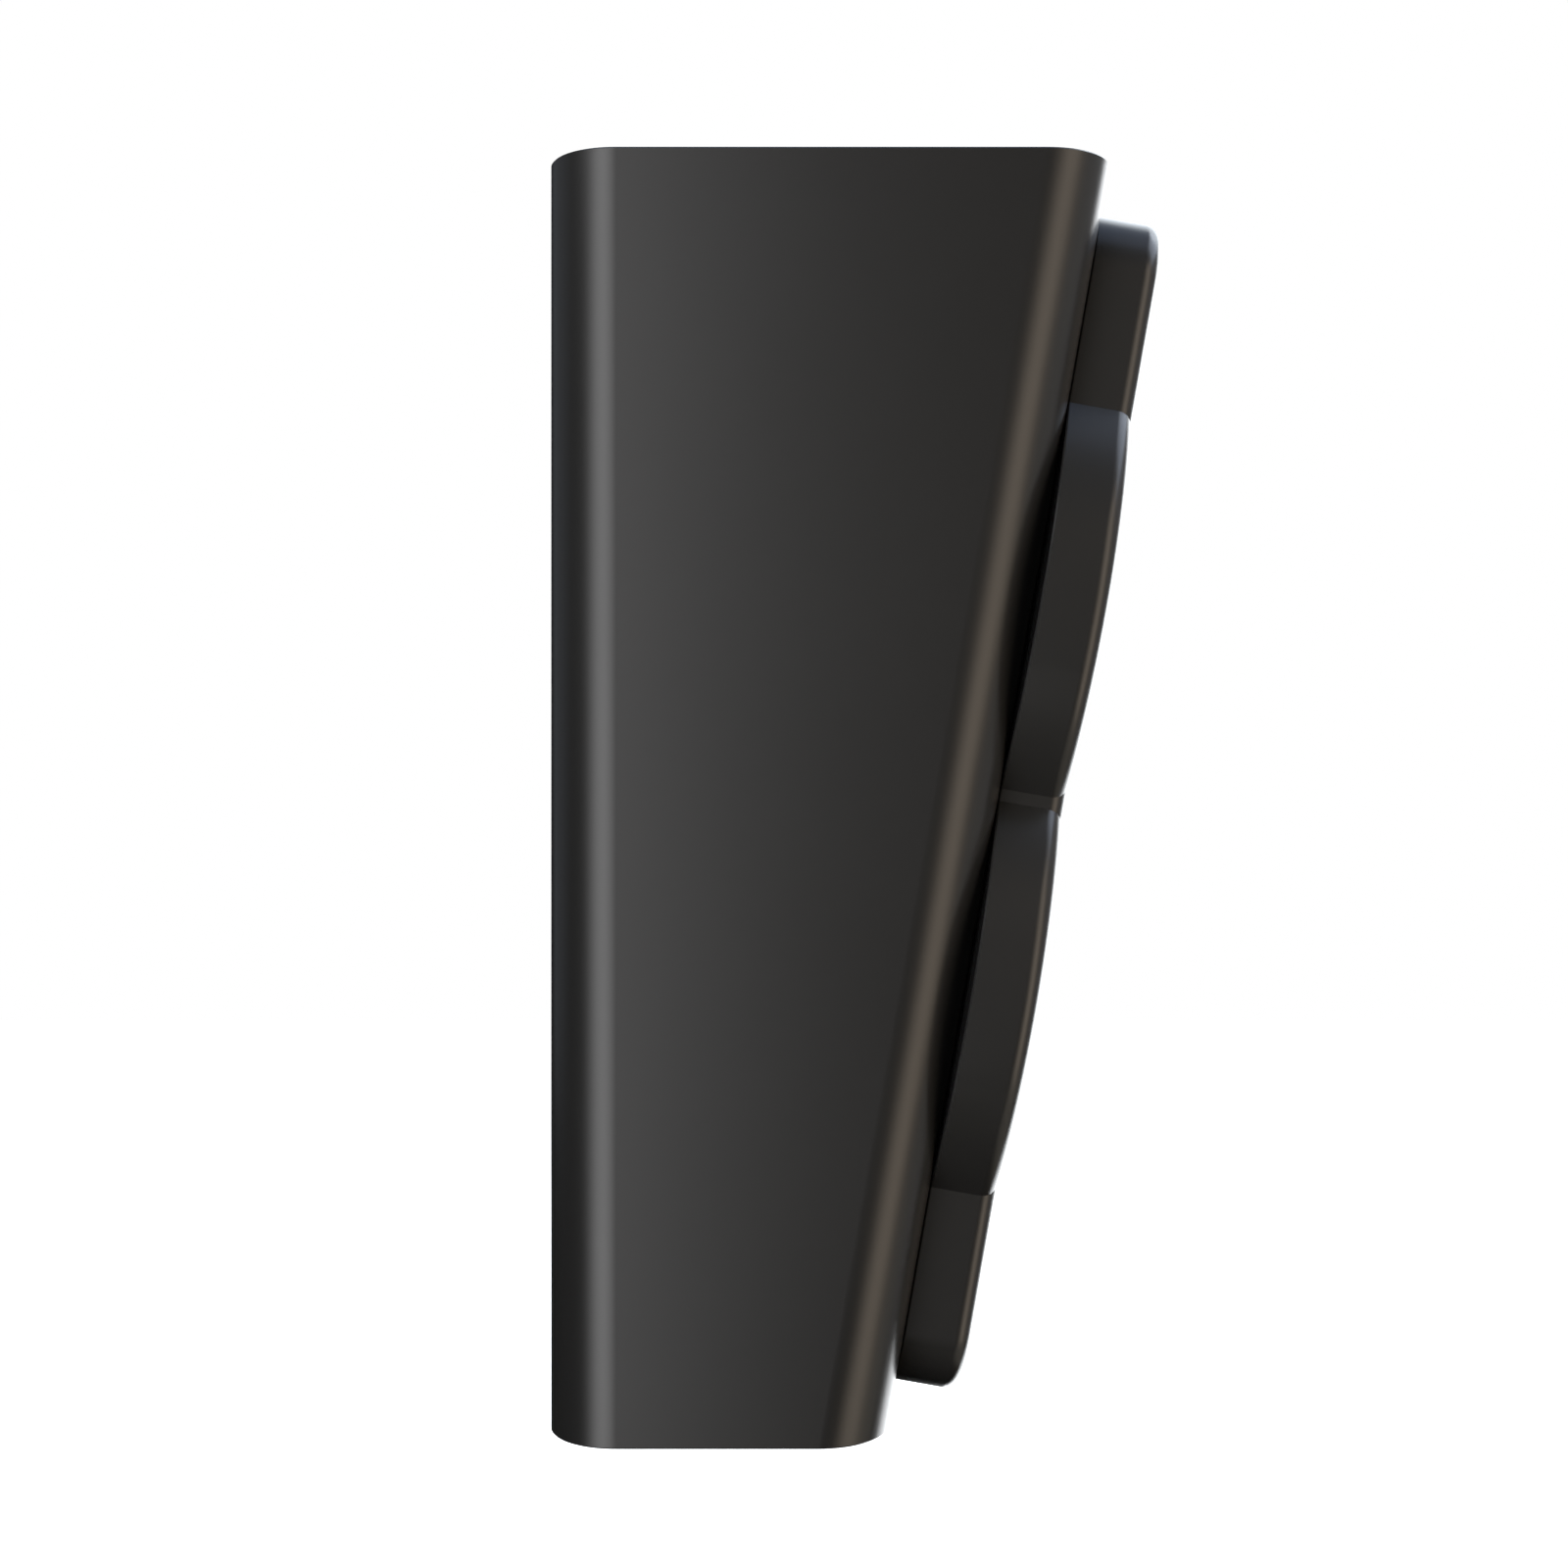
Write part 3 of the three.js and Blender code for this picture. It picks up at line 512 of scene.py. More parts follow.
def makeHousing():  # rings inside and outside the wall, joined in a loop, with bosses added and holes cut
    wall, edge, half = housing["wall"], housing["edge"], halfHeight
    loop = [[-half, edge], [-half + edge, 0], [half - edge, 0], [half, edge],
            [half, wall - edge], [half - edge, wall], [-half + edge, wall], [-half, wall - edge]]
    piece = addObject("housingShell", [skin(housingRings(loop), True)], upright)
    bosses = []
    for end, sign in (("top", 1), ("bottom", -1)):
        tip = sign * (half - capFit["thick"] - capFit["gap"])
        foot = tip - sign * housing["bossLength"]
        low, high = min(tip, foot), max(tip, foot)
        bosses += [alongUp(housing["boss"], low, high, *middleOf(box)[:2]) for box in capScrews[end]]
    acrossX, upZ = mounting["bolts"]
    backHoles = [alongIn(mounting["bolt"], -through, 2, x, z) for x in (-acrossX, acrossX) for z in (-upZ, upZ)]
    backHoles.append(alongIn(mounting["cableHole"], -through, 2, *mounting["cable"], around=64))
    width, height, corner = housing["opening"]
    mouth = carried(roundedOutline(width, height, corner), [[0, -through], [0, through]])
    sideHoles = [alongSide(sideScrewHole, 140, 190, *middleOf(box)[1:])
                 for boxes in hingeScrews.values() for box in boxes]
    combine(piece, ("UNION", bosses, upright), ("DIFFERENCE", backHoles, upright),
            ("DIFFERENCE", [mouth, *sideHoles], leaning))
    finishPiece(piece, "housing_shell", "housing")


def makeCap(end, sign):  # the housing's outline less its wall, with stepped screw holes
    fit = capFit
    bevel = fit["edge"]
    inset = housing["wall"] + fit["gap"]
    outer, inner = sign * halfHeight, sign * (halfHeight - fit["thick"])
    stations = [[inner, inset + bevel], [inner + sign * bevel, inset],
                [outer - sign * bevel, inset], [outer, inset + bevel]]
    piece = addObject(f"{end}Cap", [skin(housingRings(stations))], upright)
    holes = []
    for box in capScrews[end]:
        x, y = middleOf(box)[:2]
        profile = [[0, outer + sign], [fit["recess"] + bevel, outer + sign], [fit["recess"] + bevel, outer],
                   [fit["recess"], outer - sign * bevel], [fit["recess"], outer - sign * fit["sink"]],
                   [fit["hole"], outer - sign * fit["sink"]], [fit["hole"], inner - sign], [0, inner - sign]]
        holes.append(turned(profile, (x, y, 0), 2, 48))
    if end == "bottom":
        low, high = uprightBox("vent_plug")
        x, y = middleOf((low, high))[:2]
        reach, hole = (high[0] - low[0]) / 2 + fit["ventGap"], fit["ventHole"]
        holes.append(turned([[0, outer - 1], [reach, outer - 1], [reach, outer + 2], [hole, outer + 2],
                             [hole, inner + 1], [0, inner + 1]], (x, y, 0), 2, 64))
    combine(piece, ("DIFFERENCE", holes, upright))
    finishPiece(piece, f"{end}_cap", "housing")


# Screws; the shank, its taper and its end are shares of the head's radius and of the shank.
screwForm = {
    "rim": 0.9, "shank": 0.5, "relief": 0.2, "tip": 0.6, "point": 0.4,
    "crossArm": 0.5, "mouth": 1.05, "floor": 0.8,
}
screwKinds = {
    "cap": {"head": 2.3, "drive": "cross", "wide": 5.2, "deep": 1.3},
    "hinge": {"head": 2.6, "drive": "socket", "wide": 3.4, "deep": 1.5},
    "ring": {"head": 2.6, "drive": "cross", "wide": 4.4, "deep": 1.2},
}


def crossOutline(reach, half):  # a plus sign: three points of one arm, turned by each of four quarter turns
    quarter = np.array([[reach, half], [half, half], [half, reach]])
    turns = [np.array([[math.cos(a), math.sin(a)], [-math.sin(a), math.cos(a)]])
             for a in np.arange(4) * math.pi / 2]
    return np.concatenate([quarter @ turn for turn in turns])


def sixSided(across):  # point = across / root 3 * (cos, sin), at each sixth of a turn
    angle = np.arange(6) * math.pi / 3
    return np.stack([np.cos(angle), np.sin(angle)], -1) * across / math.sqrt(3)


def makeScrew(node, name, body, place, box, along, facing, kind):
    # a head with a rounded rim, a plain shank under it, and a driver recess narrowing inwards
    look, form = screwKinds[kind], screwForm
    low, high = box
    across = [axis for axis in range(3) if axis != along]
    top, tip = (high[along], low[along]) if facing > 0 else (low[along], high[along])
    radius = (high[across[0]] - low[across[0]]) / 2
    shank, relief = radius * form["shank"], form["relief"]
    rim = roundOver(form["rim"], 5)[::-1]
    head = np.stack([radius - rim[:, 0], top + facing * rim[:, 1]], -1)
    under = top - facing * look["head"]
    profile = [[0, top], *head.tolist(), [radius, under + facing * relief], [radius - relief, under],
               [shank, under], [shank, tip + facing * shank * form["point"]],
               [shank * form["tip"], tip], [0, tip]]
    centre = middleOf(box)
    centre[along] = 0
    piece = addObject(name, [turned(profile, centre, along, 40)], place)
    cross = look["drive"] == "cross"
    flat = crossOutline(look["wide"] / 2, form["crossArm"]) if cross else sixSided(look["wide"])
    rings = np.zeros((2, len(flat), 3))
    rings[:, :, across] = np.stack([flat * form["mouth"], flat * form["floor"]])
    rings[:, :, along] = np.array([[top + facing], [top - facing * look["deep"]]])
    combine(piece, ("DIFFERENCE", [skin(rings + centre)], place))
    finishPiece(piece, node, body)


makeHousing()
makeCap("top", 1)
makeCap("bottom", -1)
for end, sign in (("top", 1), ("bottom", -1)):
    for i, box in enumerate(capScrews[end], 1):
        makeScrew(f"{end}_cap_screw_{i}", f"{end}CapScrew{i}", "housing", upright, box, 2, sign, "cap")
print("housing made")

# The door, its seal and what is cut for the latches and pins.
door = {
    "width": 266.0, "corner": 39.0, "edge": 9.0, "wall": 4.0, "lobeStep": 0.6, "backEdge": 0.8,
    "mouth": 108.0, "sight": 100.0, "tubeWall": 3.5, "tubeBack": -8.0, "lip": 1.6, "ribBack": -2.6,
    "post": 5.5, "knuckle": 20.0, "neckRoot": 4.0, "neckHalf": 5.0,
}
seal = {"width": 238.0, "height": 556.0, "corner": 24.0, "rib": 8.0, "strip": 0.5, "bulb": 0.72}
latch = {"sleeve": 10.5, "hole": 5.3, "recess": 9.3, "recessDepth": 5.0, "recessEdge": 0.8}
pinFit = {"radius": 3.0, "gap": 0.3, "barrel": 6.0, "bevel": 0.6, "headDepth": 2.7, "edge": 0.8}
lampOf = {"upper": "red", "lower": "green"}
doorLow, doorHigh = leaningBox("door_frame")
doorFace, doorBack, doorHeight = doorLow[1], doorHigh[1], doorHigh[2] - doorLow[2]
lampHeight = {side: middleOf(leaningBox(f"{lamp}_diffuser"))[2] for side, lamp in lampOf.items()}
latchPlace = {side: middleOf(leaningBox(f"latch_screw_{side}")) for side in lampOf}
pinPlace = {side: middleOf(leaningBox(f"hinge_pin_{side}")) for side in lampOf}
ringScrews = {side: [leaningBox(f"{lamp}_ring_screw_{i}") for i in (1, 2, 3)] for side, lamp in lampOf.items()}


def barrel(low, high, pin):  # a round bar about the pin, with both of its rims bevelled
    radius, bevel = pinFit["barrel"], pinFit["bevel"]
    profile = [[0, low], [radius - bevel, low], [radius, low + bevel], [radius, high - bevel],
               [radius - bevel, high], [0, high]]
    return turned(profile, (pin[0], pin[1], 0), 2, 48)


def filleted(outline, face, back, edge, centre=(0, 0)):  # a plate with a round front edge and a small back edge
    bend = roundOver(edge, 12)
    front = np.stack([bend[:, 0], face - bend[:, 1]], -1)
    profile = [[door["backEdge"], back], [0, back - door["backEdge"]], *front.tolist()]
    return carried(outline, profile, centre)


def makeDoor():  # a plate and two round ears, hollowed from behind; then ribs, flared tubes, posts and knuckles
    wall, face, back = door["wall"], doorFace, doorBack
    box = roundedOutline(door["width"], doorHeight, door["corner"], 16)
    hollowBox = roundedOutline(door["width"] - 2 * wall, doorHeight - 2 * wall, door["corner"] - wall, 16)
    piece = addObject("doorFrame", [filleted(box, face, back, door["edge"])], leaning)
    ears = [filleted(circleOutline(halfWidth, 240), face + door["lobeStep"], back, door["edge"], (0, z))
            for z in lampHeight.values()]
    inside = face + wall + door["lobeStep"]
    hollows = [carried(circleOutline(halfWidth - wall, 160), [[0, back + 5], [0, inside]], (0, z))
               for z in lampHeight.values()]
    ribSide, direction = sealOutline()
    ribInside = ribSide - direction * seal["rib"]
    ribBack, ribFront = door["ribBack"], face + 1
    rib = np.array([np.insert(outline, 1, y, axis=1) for outline, y in (
        (ribSide, ribFront), (ribSide, ribBack), (ribInside, ribBack), (ribInside, ribFront))])
    mouth, sight, tube = door["mouth"], door["sight"], door["tubeWall"]
    flare = [[0, face + 1], [mouth + tube, face + 1], [sight + tube, door["tubeBack"]], [0, door["tubeBack"]]]
    tubes = [turned(flare, (0, 0, z), 1, 128) for z in lampHeight.values()]
    posts = [alongIn(door["post"], face + 2, back, *middleOf(box)[[0, 2]])
             for boxes in ringScrews.values() for box in boxes]
    posts += [alongIn(latch["sleeve"], face + 2, back, *place[[0, 2]]) for place in latchPlace.values()]
    half, root, thick = door["knuckle"] / 2, halfWidth - door["neckRoot"], door["neckHalf"]
    knuckles = list(zip(pinPlace.values(), lampHeight.values()))
    necks = [block([root, pin[1] - thick, z - half], [pin[0], pin[1] + thick, z + half]) for pin, z in knuckles]
    barrels = [barrel(z - half, z + half, pin) for pin, z in knuckles]
    bend = np.linspace(0, math.pi / 2, 7)
    rim = np.stack([mouth + door["lip"] * (1 - np.sin(bend)), face + door["lip"] * (1 - np.cos(bend))], -1)
    holes = []
    for z in lampHeight.values():
        profile = [[0, face - 2], [mouth + door["lip"], face - 2], *rim.tolist(), [sight, door["tubeBack"] + 1],
                   [0, door["tubeBack"] + 1]]
        holes.append(turned(profile, (0, 0, z), 1, 160))
    for place in latchPlace.values():
        recess, deep, bevel = latch["recess"], face + latch["recessDepth"], latch["recessEdge"]
        profile = [[0, face - 2], [recess + bevel, face - 2], [recess + bevel, face], [recess, face + bevel],
                   [recess, deep], [latch["hole"], deep], [latch["hole"], 2], [0, 2]]
        holes.append(turned(profile, (place[0], 0, place[2]), 1, 64))
    bore = pinFit["radius"] + pinFit["gap"]
    holes += [alongUp(bore, z - through, z + through, pin[0], pin[1], 40) for pin, z in knuckles]
    combine(piece, ("UNION", [ears[0]], leaning), ("UNION", [ears[1]], leaning),
            ("DIFFERENCE", [carried(hollowBox, [[0, back + 5], [0, face + wall]])], leaning),
            ("DIFFERENCE", [hollows[0]], leaning), ("DIFFERENCE", [hollows[1]], leaning),
            ("UNION", [skin(rib, True)], leaning), ("UNION", tubes, leaning), ("UNION", posts, leaning),
            ("UNION", necks, leaning), ("UNION", barrels, leaning), ("DIFFERENCE", holes, leaning))
    finishPiece(piece, "door_frame", "door", 28.0)


def sealOutline():  # the outer side of the rib and of the seal behind it
    rib = seal["rib"]
    return roundedOutline(seal["width"] + 2 * rib, seal["height"] + 2 * rib, seal["corner"] + rib)


def makeSeal():  # a strip carried round the door; its bulb is width * cos and height * sin over a half turn
    low, high = leaningBox("door_seal")
    base, crown = low[1], high[1]
    width, strip = seal["rib"], base + seal["strip"]
    angle = np.linspace(0, math.pi, 13)
    across = width / 2 - width / 2 * seal["bulb"] * np.cos(angle)
    bulb = np.stack([across, strip + (crown - base - seal["strip"]) * np.sin(angle)], -1)
    section = np.vstack([[[0, base], [0, strip]], bulb, [[width, strip], [width, base]]])
    piece = addObject("doorSeal", [carried(sealOutline(), section, loop=True)], leaning)
    finishPiece(piece, "door_seal", "door", 50.0)


makeDoor()
makeSeal()
print("door made")


leafLook = {"plateCorner": 6.0, "edge": 0.5, "web": 14.0, "webGap": 0.3, "thick": 3.2, "plateEnd": -3.0}


def makeHinge(side):  # a rounded plate on the wall, two webs with barrels, the pin and two screws
    low, high = leaningBox(f"hinge_leaf_{side}")
    pin, z = pinPlace[side], lampHeight[side]
    halfLeaf = (high[2] - low[2]) / 2
    inner, thick, edge = low[0], leafLook["thick"], leafLook["edge"]
    plateEnd = leafLook["plateEnd"]
    length = high[1] - plateEnd
    plate = roundedOutline(length, 2 * halfLeaf, leafLook["plateCorner"])
    middle = (plateEnd + length / 2, z)
    profile = [[0, inner], [0, inner + thick - edge], [edge, inner + thick]]
    piece = addObject(f"hingeLeaf{side.title()}", [carried(plate, profile, middle, 0)], leaning)
    web = np.array([[inner, 14], [inner + thick, 14], [pin[0] + 5, pin[1] + 3], [pin[0], pin[1]],
                    [pin[0] - 5, pin[1] + 3], [inner, -2]])
    webs, barrels = [], []
    for start in (z - halfLeaf, z + halfLeaf - leafLook["web"]):
        stop = start + leafLook["web"]
        gap = leafLook["webGap"]
        webs.append(skin(np.array([np.insert(web, 2, level, axis=1) for level in (start + gap, stop - gap)])))
        barrels.append(barrel(start, stop, pin))
    holes = [alongUp(pinFit["radius"] + pinFit["gap"], z - 40, z + 40, pin[0], pin[1], 40)]
    holes += [alongSide(sideScrewHole, 160, 190, *middleOf(box)[1:]) for box in hingeScrews[side]]
    combine(piece, ("UNION", webs, leaning), ("UNION", barrels, leaning), ("DIFFERENCE", holes, leaning))
    finishPiece(piece, f"hinge_leaf_{side}", "housing")
    low, high = leaningBox(f"hinge_pin_{side}")
    head, under = (high[0] - low[0]) / 2, high[2] - pinFit["headDepth"]
    radius, edge = pinFit["radius"], pinFit["edge"]
    profile = [[0, low[2]], [radius - edge, low[2]], [radius, low[2] + edge], [radius, under],
               [head, under], [head, high[2] - edge], [head - edge, high[2]], [0, high[2]]]
    piece = addObject(f"hingePin{side.title()}", [turned(profile, (pin[0], pin[1], 0), 2, 48)], leaning)
    finishPiece(piece, f"hinge_pin_{side}", "housing")
    for i, box in enumerate(hingeScrews[side], 1):
        name = f"hingeScrew{side.title()}{i}"
        makeScrew(f"hinge_screw_{side}_{i}", name, "housing", leaning, box, 0, 1, "hinge")


latchScrew = {"rim": 1.0, "head": 4.2, "body": 5.0, "neck": 3.4, "thread": 2.6, "slot": (7.2, 1.8, 0.9)}
cam = {"edge": 0.5, "hole": 3.7}
nut = {"edge": 0.4, "hole": 2.8}
keeper = {"corner": 4.0, "edge": 0.4, "hole": 2.2, "holeX": 14.0}


def makeLatch(side):  # a slotted turned screw, a round-ended cam, a nut, and the cam's keeper strip
    body, place = f"{side}_latch", latchPlace[side]
    low, high = leaningBox(f"latch_screw_{side}")
    radius = (high[0] - low[0]) / 2
    camLow, camHigh = leaningBox(f"latch_cam_{side}")
    nutLow, nutHigh = leaningBox(f"latch_nut_{side}")
    face, x, z = low[1], place[0], place[2]
    rim = roundOver(latchScrew["rim"], 5)[::-1]
    head = np.stack([radius - rim[:, 0], face - rim[:, 1]], -1)
    under, shoulder = face + latchScrew["head"], camLow[1] - 0.5
    thick, neck, thread = latchScrew["body"], latchScrew["neck"], latchScrew["thread"]
    profile = [[0, face], *head.tolist(), [radius, under], [thick, under], [thick, shoulder], [neck, shoulder],
               [neck, camHigh[1]], [thread, camHigh[1]], [thread, high[1] - 0.8], [2.0, high[1]], [0, high[1]]]
    piece = addObject(f"latchScrew{side.title()}", [turned(profile, (x, 0, z), 1, 64)], leaning)
    reach, deep, wide = latchScrew["slot"]
    slot = block([x - reach, face - 1, z - wide], [x + reach, face + deep, z + wide])
    combine(piece, ("DIFFERENCE", [slot], leaning))
    finishPiece(piece, f"latch_screw_{side}", body)
    half = (camHigh[2] - camLow[2]) / 2
    arm = limbOutline((x, z), (camHigh[0] - half, z), half)
    edge = cam["edge"]
    profile = [[edge, camLow[1]], [0, camLow[1] + edge], [0, camHigh[1] - edge], [edge, camHigh[1]]]
    piece = addObject(f"latchCam{side.title()}", [carried(arm, profile)], leaning)
    combine(piece, ("DIFFERENCE", [alongIn(cam["hole"], -5, 30, x, z, 40)], leaning))
    finishPiece(piece, f"latch_cam_{side}", body)
    across = nutHigh[0] - nutLow[0]
    flat = sixSided(across * math.sqrt(3) / 2) + [x, z]
    rings = np.array([np.insert(flat, 1, y, axis=1) for y in (nutLow[1], nutHigh[1])])
    piece = addObject(f"latchNut{side.title()}", [skin(rings)], leaning)
    bevel = piece.modifiers.new("edges", "BEVEL")
    bevel.width, bevel.segments = nut["edge"] / metre, 2
    combine(piece, ("DIFFERENCE", [alongIn(nut["hole"], 0, 30, x, z, 40)], leaning))
    finishPiece(piece, f"latch_nut_{side}", body)
    low, high = leaningBox(f"latch_keeper_{side}")
    size, middle, edge = high - low, middleOf((low, high)), keeper["edge"]
    profile = [[edge, low[1]], [0, low[1] + edge], [0, high[1] - edge], [edge, high[1]]]
    strip = carried(roundedOutline(size[0], size[2], keeper["corner"]), profile, middle[[0, 2]])
    piece = addObject(f"latchKeeper{side.title()}", [strip], leaning)
    holes = [alongIn(keeper["hole"], low[1] - 1, high[1] + 1, middle[0] + x, middle[2], 40)
             for x in (-keeper["holeX"], keeper["holeX"])]
    combine(piece, ("DIFFERENCE", holes, leaning))
    finishPiece(piece, f"latch_keeper_{side}", "housing")


for side in lampOf:
    makeHinge(side)
    makeLatch(side)
print("hinges and latches made")

# The two lamps. A figure is a row of limbs: start, end and radius.
figures = {
    "red": [
        [0, 60, 0.1, 60, 13], [-16, 33, 16, 33, 8], [-11, 33, -8, -14, 8], [11, 33, 8, -14, 8],
        [-22, 32, -25, -8, 5], [22, 32, 25, -8, 5], [-9, -14, -9, -70, 7.5], [9, -14, 9, -70, 7.5],
        [0, 30, 0, -8, 10],
    ],
    "green": [
        [-6, 62, -5.9, 62, 13], [0, 34, 3, -6, 13], [-4, 34, -26, 14, 5], [-26, 14, -38, -6, 5],
        [6, 34, 22, 10, 5], [22, 10, 36, 4, 5], [0, -8, -16, -38, 8], [-16, -38, -30, -70, 7],
        [6, -8, 18, -36, 8], [18, -36, 36, -66, 7],
    ],
}
dome = {"shoulder": 98.0, "thick": 2.5}
can = {"side": 103.0, "tail": 78.0, "shoulder": 10.0, "wall": 2.5, "round": 6.0, "flange": 2.5, "hole": 6.1}
clampRing = {"inner": 104.0, "outer": 112.0, "ear": 6.5, "edge": 0.4}
gland = {"collar": 8.0, "edge": 0.5, "neck": 5.8, "nose": 7.2, "round": 2.0, "bore": 3.2}
lensSeal = {"inner": 100.5, "outer": 108.5}


def makeLens(lamp, z):  # an even dome on a flat flange: depth = foot - (foot - crown) * (1 - reach squared)
    low, high = leaningBox(f"{lamp}_lens")
    flange, shoulder, thick = (high[0] - low[0]) / 2, dome["shoulder"], dome["thick"]
    reach = np.linspace(0, 1, 25)
    crown, foot = low[1], high[1] - thick
    outer = np.stack([reach * shoulder, foot - (foot - crown) * (1 - reach ** 2)], -1)
    inner = outer + [0, thick]
    profile = [*outer.tolist(), [flange, foot], [flange, foot + thick], *inner[::-1].tolist()]
    piece = addObject(f"{lamp}Lens", [turned(profile, (0, 0, z), 1, 128)], leaning)
    finishPiece(piece, f"{lamp}_lens", "door", 40.0)


def makeCan(lamp, z):  # a tapering turned shell with a flange and a round shoulder at its tail
    low, high = leaningBox(f"{lamp}_can")
    lead = middleOf(leaningBox(f"{lamp}_lead_gland"))
    flange, face, back = (high[0] - low[0]) / 2, low[1], high[1]
    side, tail, shoulder, wall, bend = (can[key] for key in ("side", "tail", "shoulder", "wall", "round"))
    rim = face + can["flange"]
    path = np.array([[side, rim], [side, shoulder], [tail, back - bend]])
    arc = roundOver(bend, 6)
    outer = np.vstack([path, np.stack([tail - arc[1:, 0], back + arc[1:, 1]], -1), [[0, back]]])
    inner = [[0, back - wall], [tail - wall - bend, back - wall], [tail - wall, back - bend - wall],
             [side - wall, shoulder - 1], [side - wall, face]]
    profile = np.vstack([[[flange, face], [flange, rim]], outer, inner])
    piece = addObject(f"{lamp}Can", [turned(profile, (0, 0, z), 1, 144, loop=True)], leaning)
    combine(piece, ("DIFFERENCE", [alongIn(can["hole"], back - 10, back + 10, lead[0], z, 40)], leaning))
    finishPiece(piece, f"{lamp}_can", "door")


def makeMask(lamp, z):  # a thin disc with each limb of the figure cut out of it
    low, high = leaningBox(f"{lamp}_figure_mask")
    radius = (high[0] - low[0]) / 2
    disc = carried(circleOutline(radius, 96), [[0, low[1]], [0, high[1]]], (0, z))
    piece = addObject(f"{lamp}FigureMask", [disc], leaning)
    limbs = [carried(limbOutline((x0, z0), (x1, z1), thick), [[0, -5], [0, 5]], (0, z))
             for x0, z0, x1, z1, thick in figures[lamp]]
    combine(piece, *[("DIFFERENCE", [limb], leaning) for limb in limbs])
    finishPiece(piece, f"{lamp}_figure_mask", "door")


def makeRing(side, lamp, z):
    # a flat ring: radius = the larger of its own and, near a screw, the far side of a circle round it
    low, high = leaningBox(f"{lamp}_clamp_ring")
    inner, outer, ear, edge = (clampRing[key] for key in ("inner", "outer", "ear", "edge"))
    angle = np.linspace(0, 2 * math.pi, 360, endpoint=False)
    radius = np.full_like(angle, outer)
    for box in ringScrews[side]:
        x, _, up = middleOf(box) - [0, 0, z]
        away, turn = math.hypot(x, up), math.atan2(up, x)
        offset = np.arctan2(np.sin(angle - turn), np.cos(angle - turn))
        inside = ear ** 2 - (away * np.sin(offset)) ** 2
        swell = away * np.cos(offset) + np.sqrt(np.maximum(inside, 0))
        radius = np.where((inside > 0) & (np.cos(offset) > 0), np.maximum(radius, swell), radius)
    direction = np.stack([np.cos(angle), np.sin(angle)], -1)
    stations = [(radius - edge, low[1]), (radius, low[1] + edge),
                (radius, high[1] - edge), (radius - edge, high[1]),
                (inner + edge, high[1]), (inner, high[1] - edge),
                (inner, low[1] + edge), (inner + edge, low[1])]
    rings = np.array([np.insert(direction * np.broadcast_to(reach, angle.shape)[:, None] + [0, z], 1, y, axis=1)
                      for reach, y in stations])
    piece = addObject(f"{lamp}ClampRing", [skin(rings, True)], leaning)
    finishPiece(piece, f"{lamp}_clamp_ring", "door")


def makeGland(lamp, z):  # a six-sided collar with a rounded mouth
    low, high = leaningBox(f"{lamp}_lead_gland")
    x = middleOf((low, high))[0]
    collarFace = high[1] - gland["collar"]
    across = high[2] - low[2]
    flat = sixSided(across * math.sqrt(3) / 2)[:, ::-1] + [x, z]
    rings = np.array([np.insert(flat, 1, y, axis=1) for y in (collarFace, high[1] - 2)])
    piece = addObject(f"{lamp}LeadGland", [skin(rings)], leaning)
    bevel = piece.modifiers.new("edges", "BEVEL")
    bevel.width, bevel.segments = gland["edge"] / metre, 2
    thin, wide = gland["neck"], gland["nose"]
    neck = turned([[0, low[1]], [thin, low[1]], [thin, collarFace + 1], [0, collarFace + 1]], (x, 0, z), 1, 40)
    bend = roundOver(gland["round"], 5)
    nose = np.stack([wide - bend[:, 0], high[1] + bend[:, 1]], -1)
    cap = turned([[0, high[1] - 3], [wide, high[1] - 3], *nose.tolist(), [0, high[1]]], (x, 0, z), 1, 48)
    combine(piece, ("UNION", [neck], leaning), ("UNION", [cap], leaning),
            ("DIFFERENCE", [alongIn(gland["bore"], low[1] - 2, high[1] + 2, x, z, 40)], leaning))
    finishPiece(piece, f"{lamp}_lead_gland", "door")


for side, lamp in lampOf.items():
    z = lampHeight[side]
    makeLens(lamp, z)
    makeCan(lamp, z)
    makeMask(lamp, z)
    makeRing(side, lamp, z)
    makeGland(lamp, z)
    low, high = leaningBox(f"{lamp}_lens_seal")
    inner, outer = lensSeal["inner"], lensSeal["outer"]
    section = [[inner, low[1]], [outer, low[1]], [outer, high[1]], [inner, high[1]]]
    piece = addObject(f"{lamp}LensSeal", [turned(section, (0, 0, z), 1, 128, loop=True)], leaning)
    finishPiece(piece, f"{lamp}_lens_seal", "door")
    for i, box in enumerate(ringScrews[side], 1):
        makeScrew(f"{lamp}_ring_screw_{i}", f"{lamp}RingScrew{i}", "door", leaning, box, 1, 1, "ring")
print("lamps made")


grommet = {"neck": 15.7, "bore": 9.0, "lip": 4.0, "round": 1.5}
vent = {"body": 7.0, "edge": 0.6, "rim": 1.4, "foot": 0.8, "middleHole": 2.0, "hole": 1.1, "holesAt": 5.2}


def makeGrommet():  # a turned section: a round lip at the back, a neck through the wall and a flange inside
    low, high = uprightBox("cable_grommet")
    x, _, z = middleOf((low, high))
    back, front = high[1], low[1]
    outer, neck, bore, lip = (high[0] - low[0]) / 2, grommet["neck"], grommet["bore"], grommet["lip"]
    bend = roundOver(grommet["round"], 5)
    mouth = np.stack([bore + bend[:, 0], back + bend[:, 1]], -1)
    section = [*mouth.tolist(), [neck, back], [neck, front + lip], [outer - 1, front + lip],
               [outer, front + lip - 1], [outer, front + 1], [outer - 1, front],
               [bore + 1, front], [bore, front + 1]]
    piece = addObject("cableGrommet", [turned(section, (x, 0, z), 1, 96, loop=True)], upright)
    finishPiece(piece, "cable_grommet", "housing")


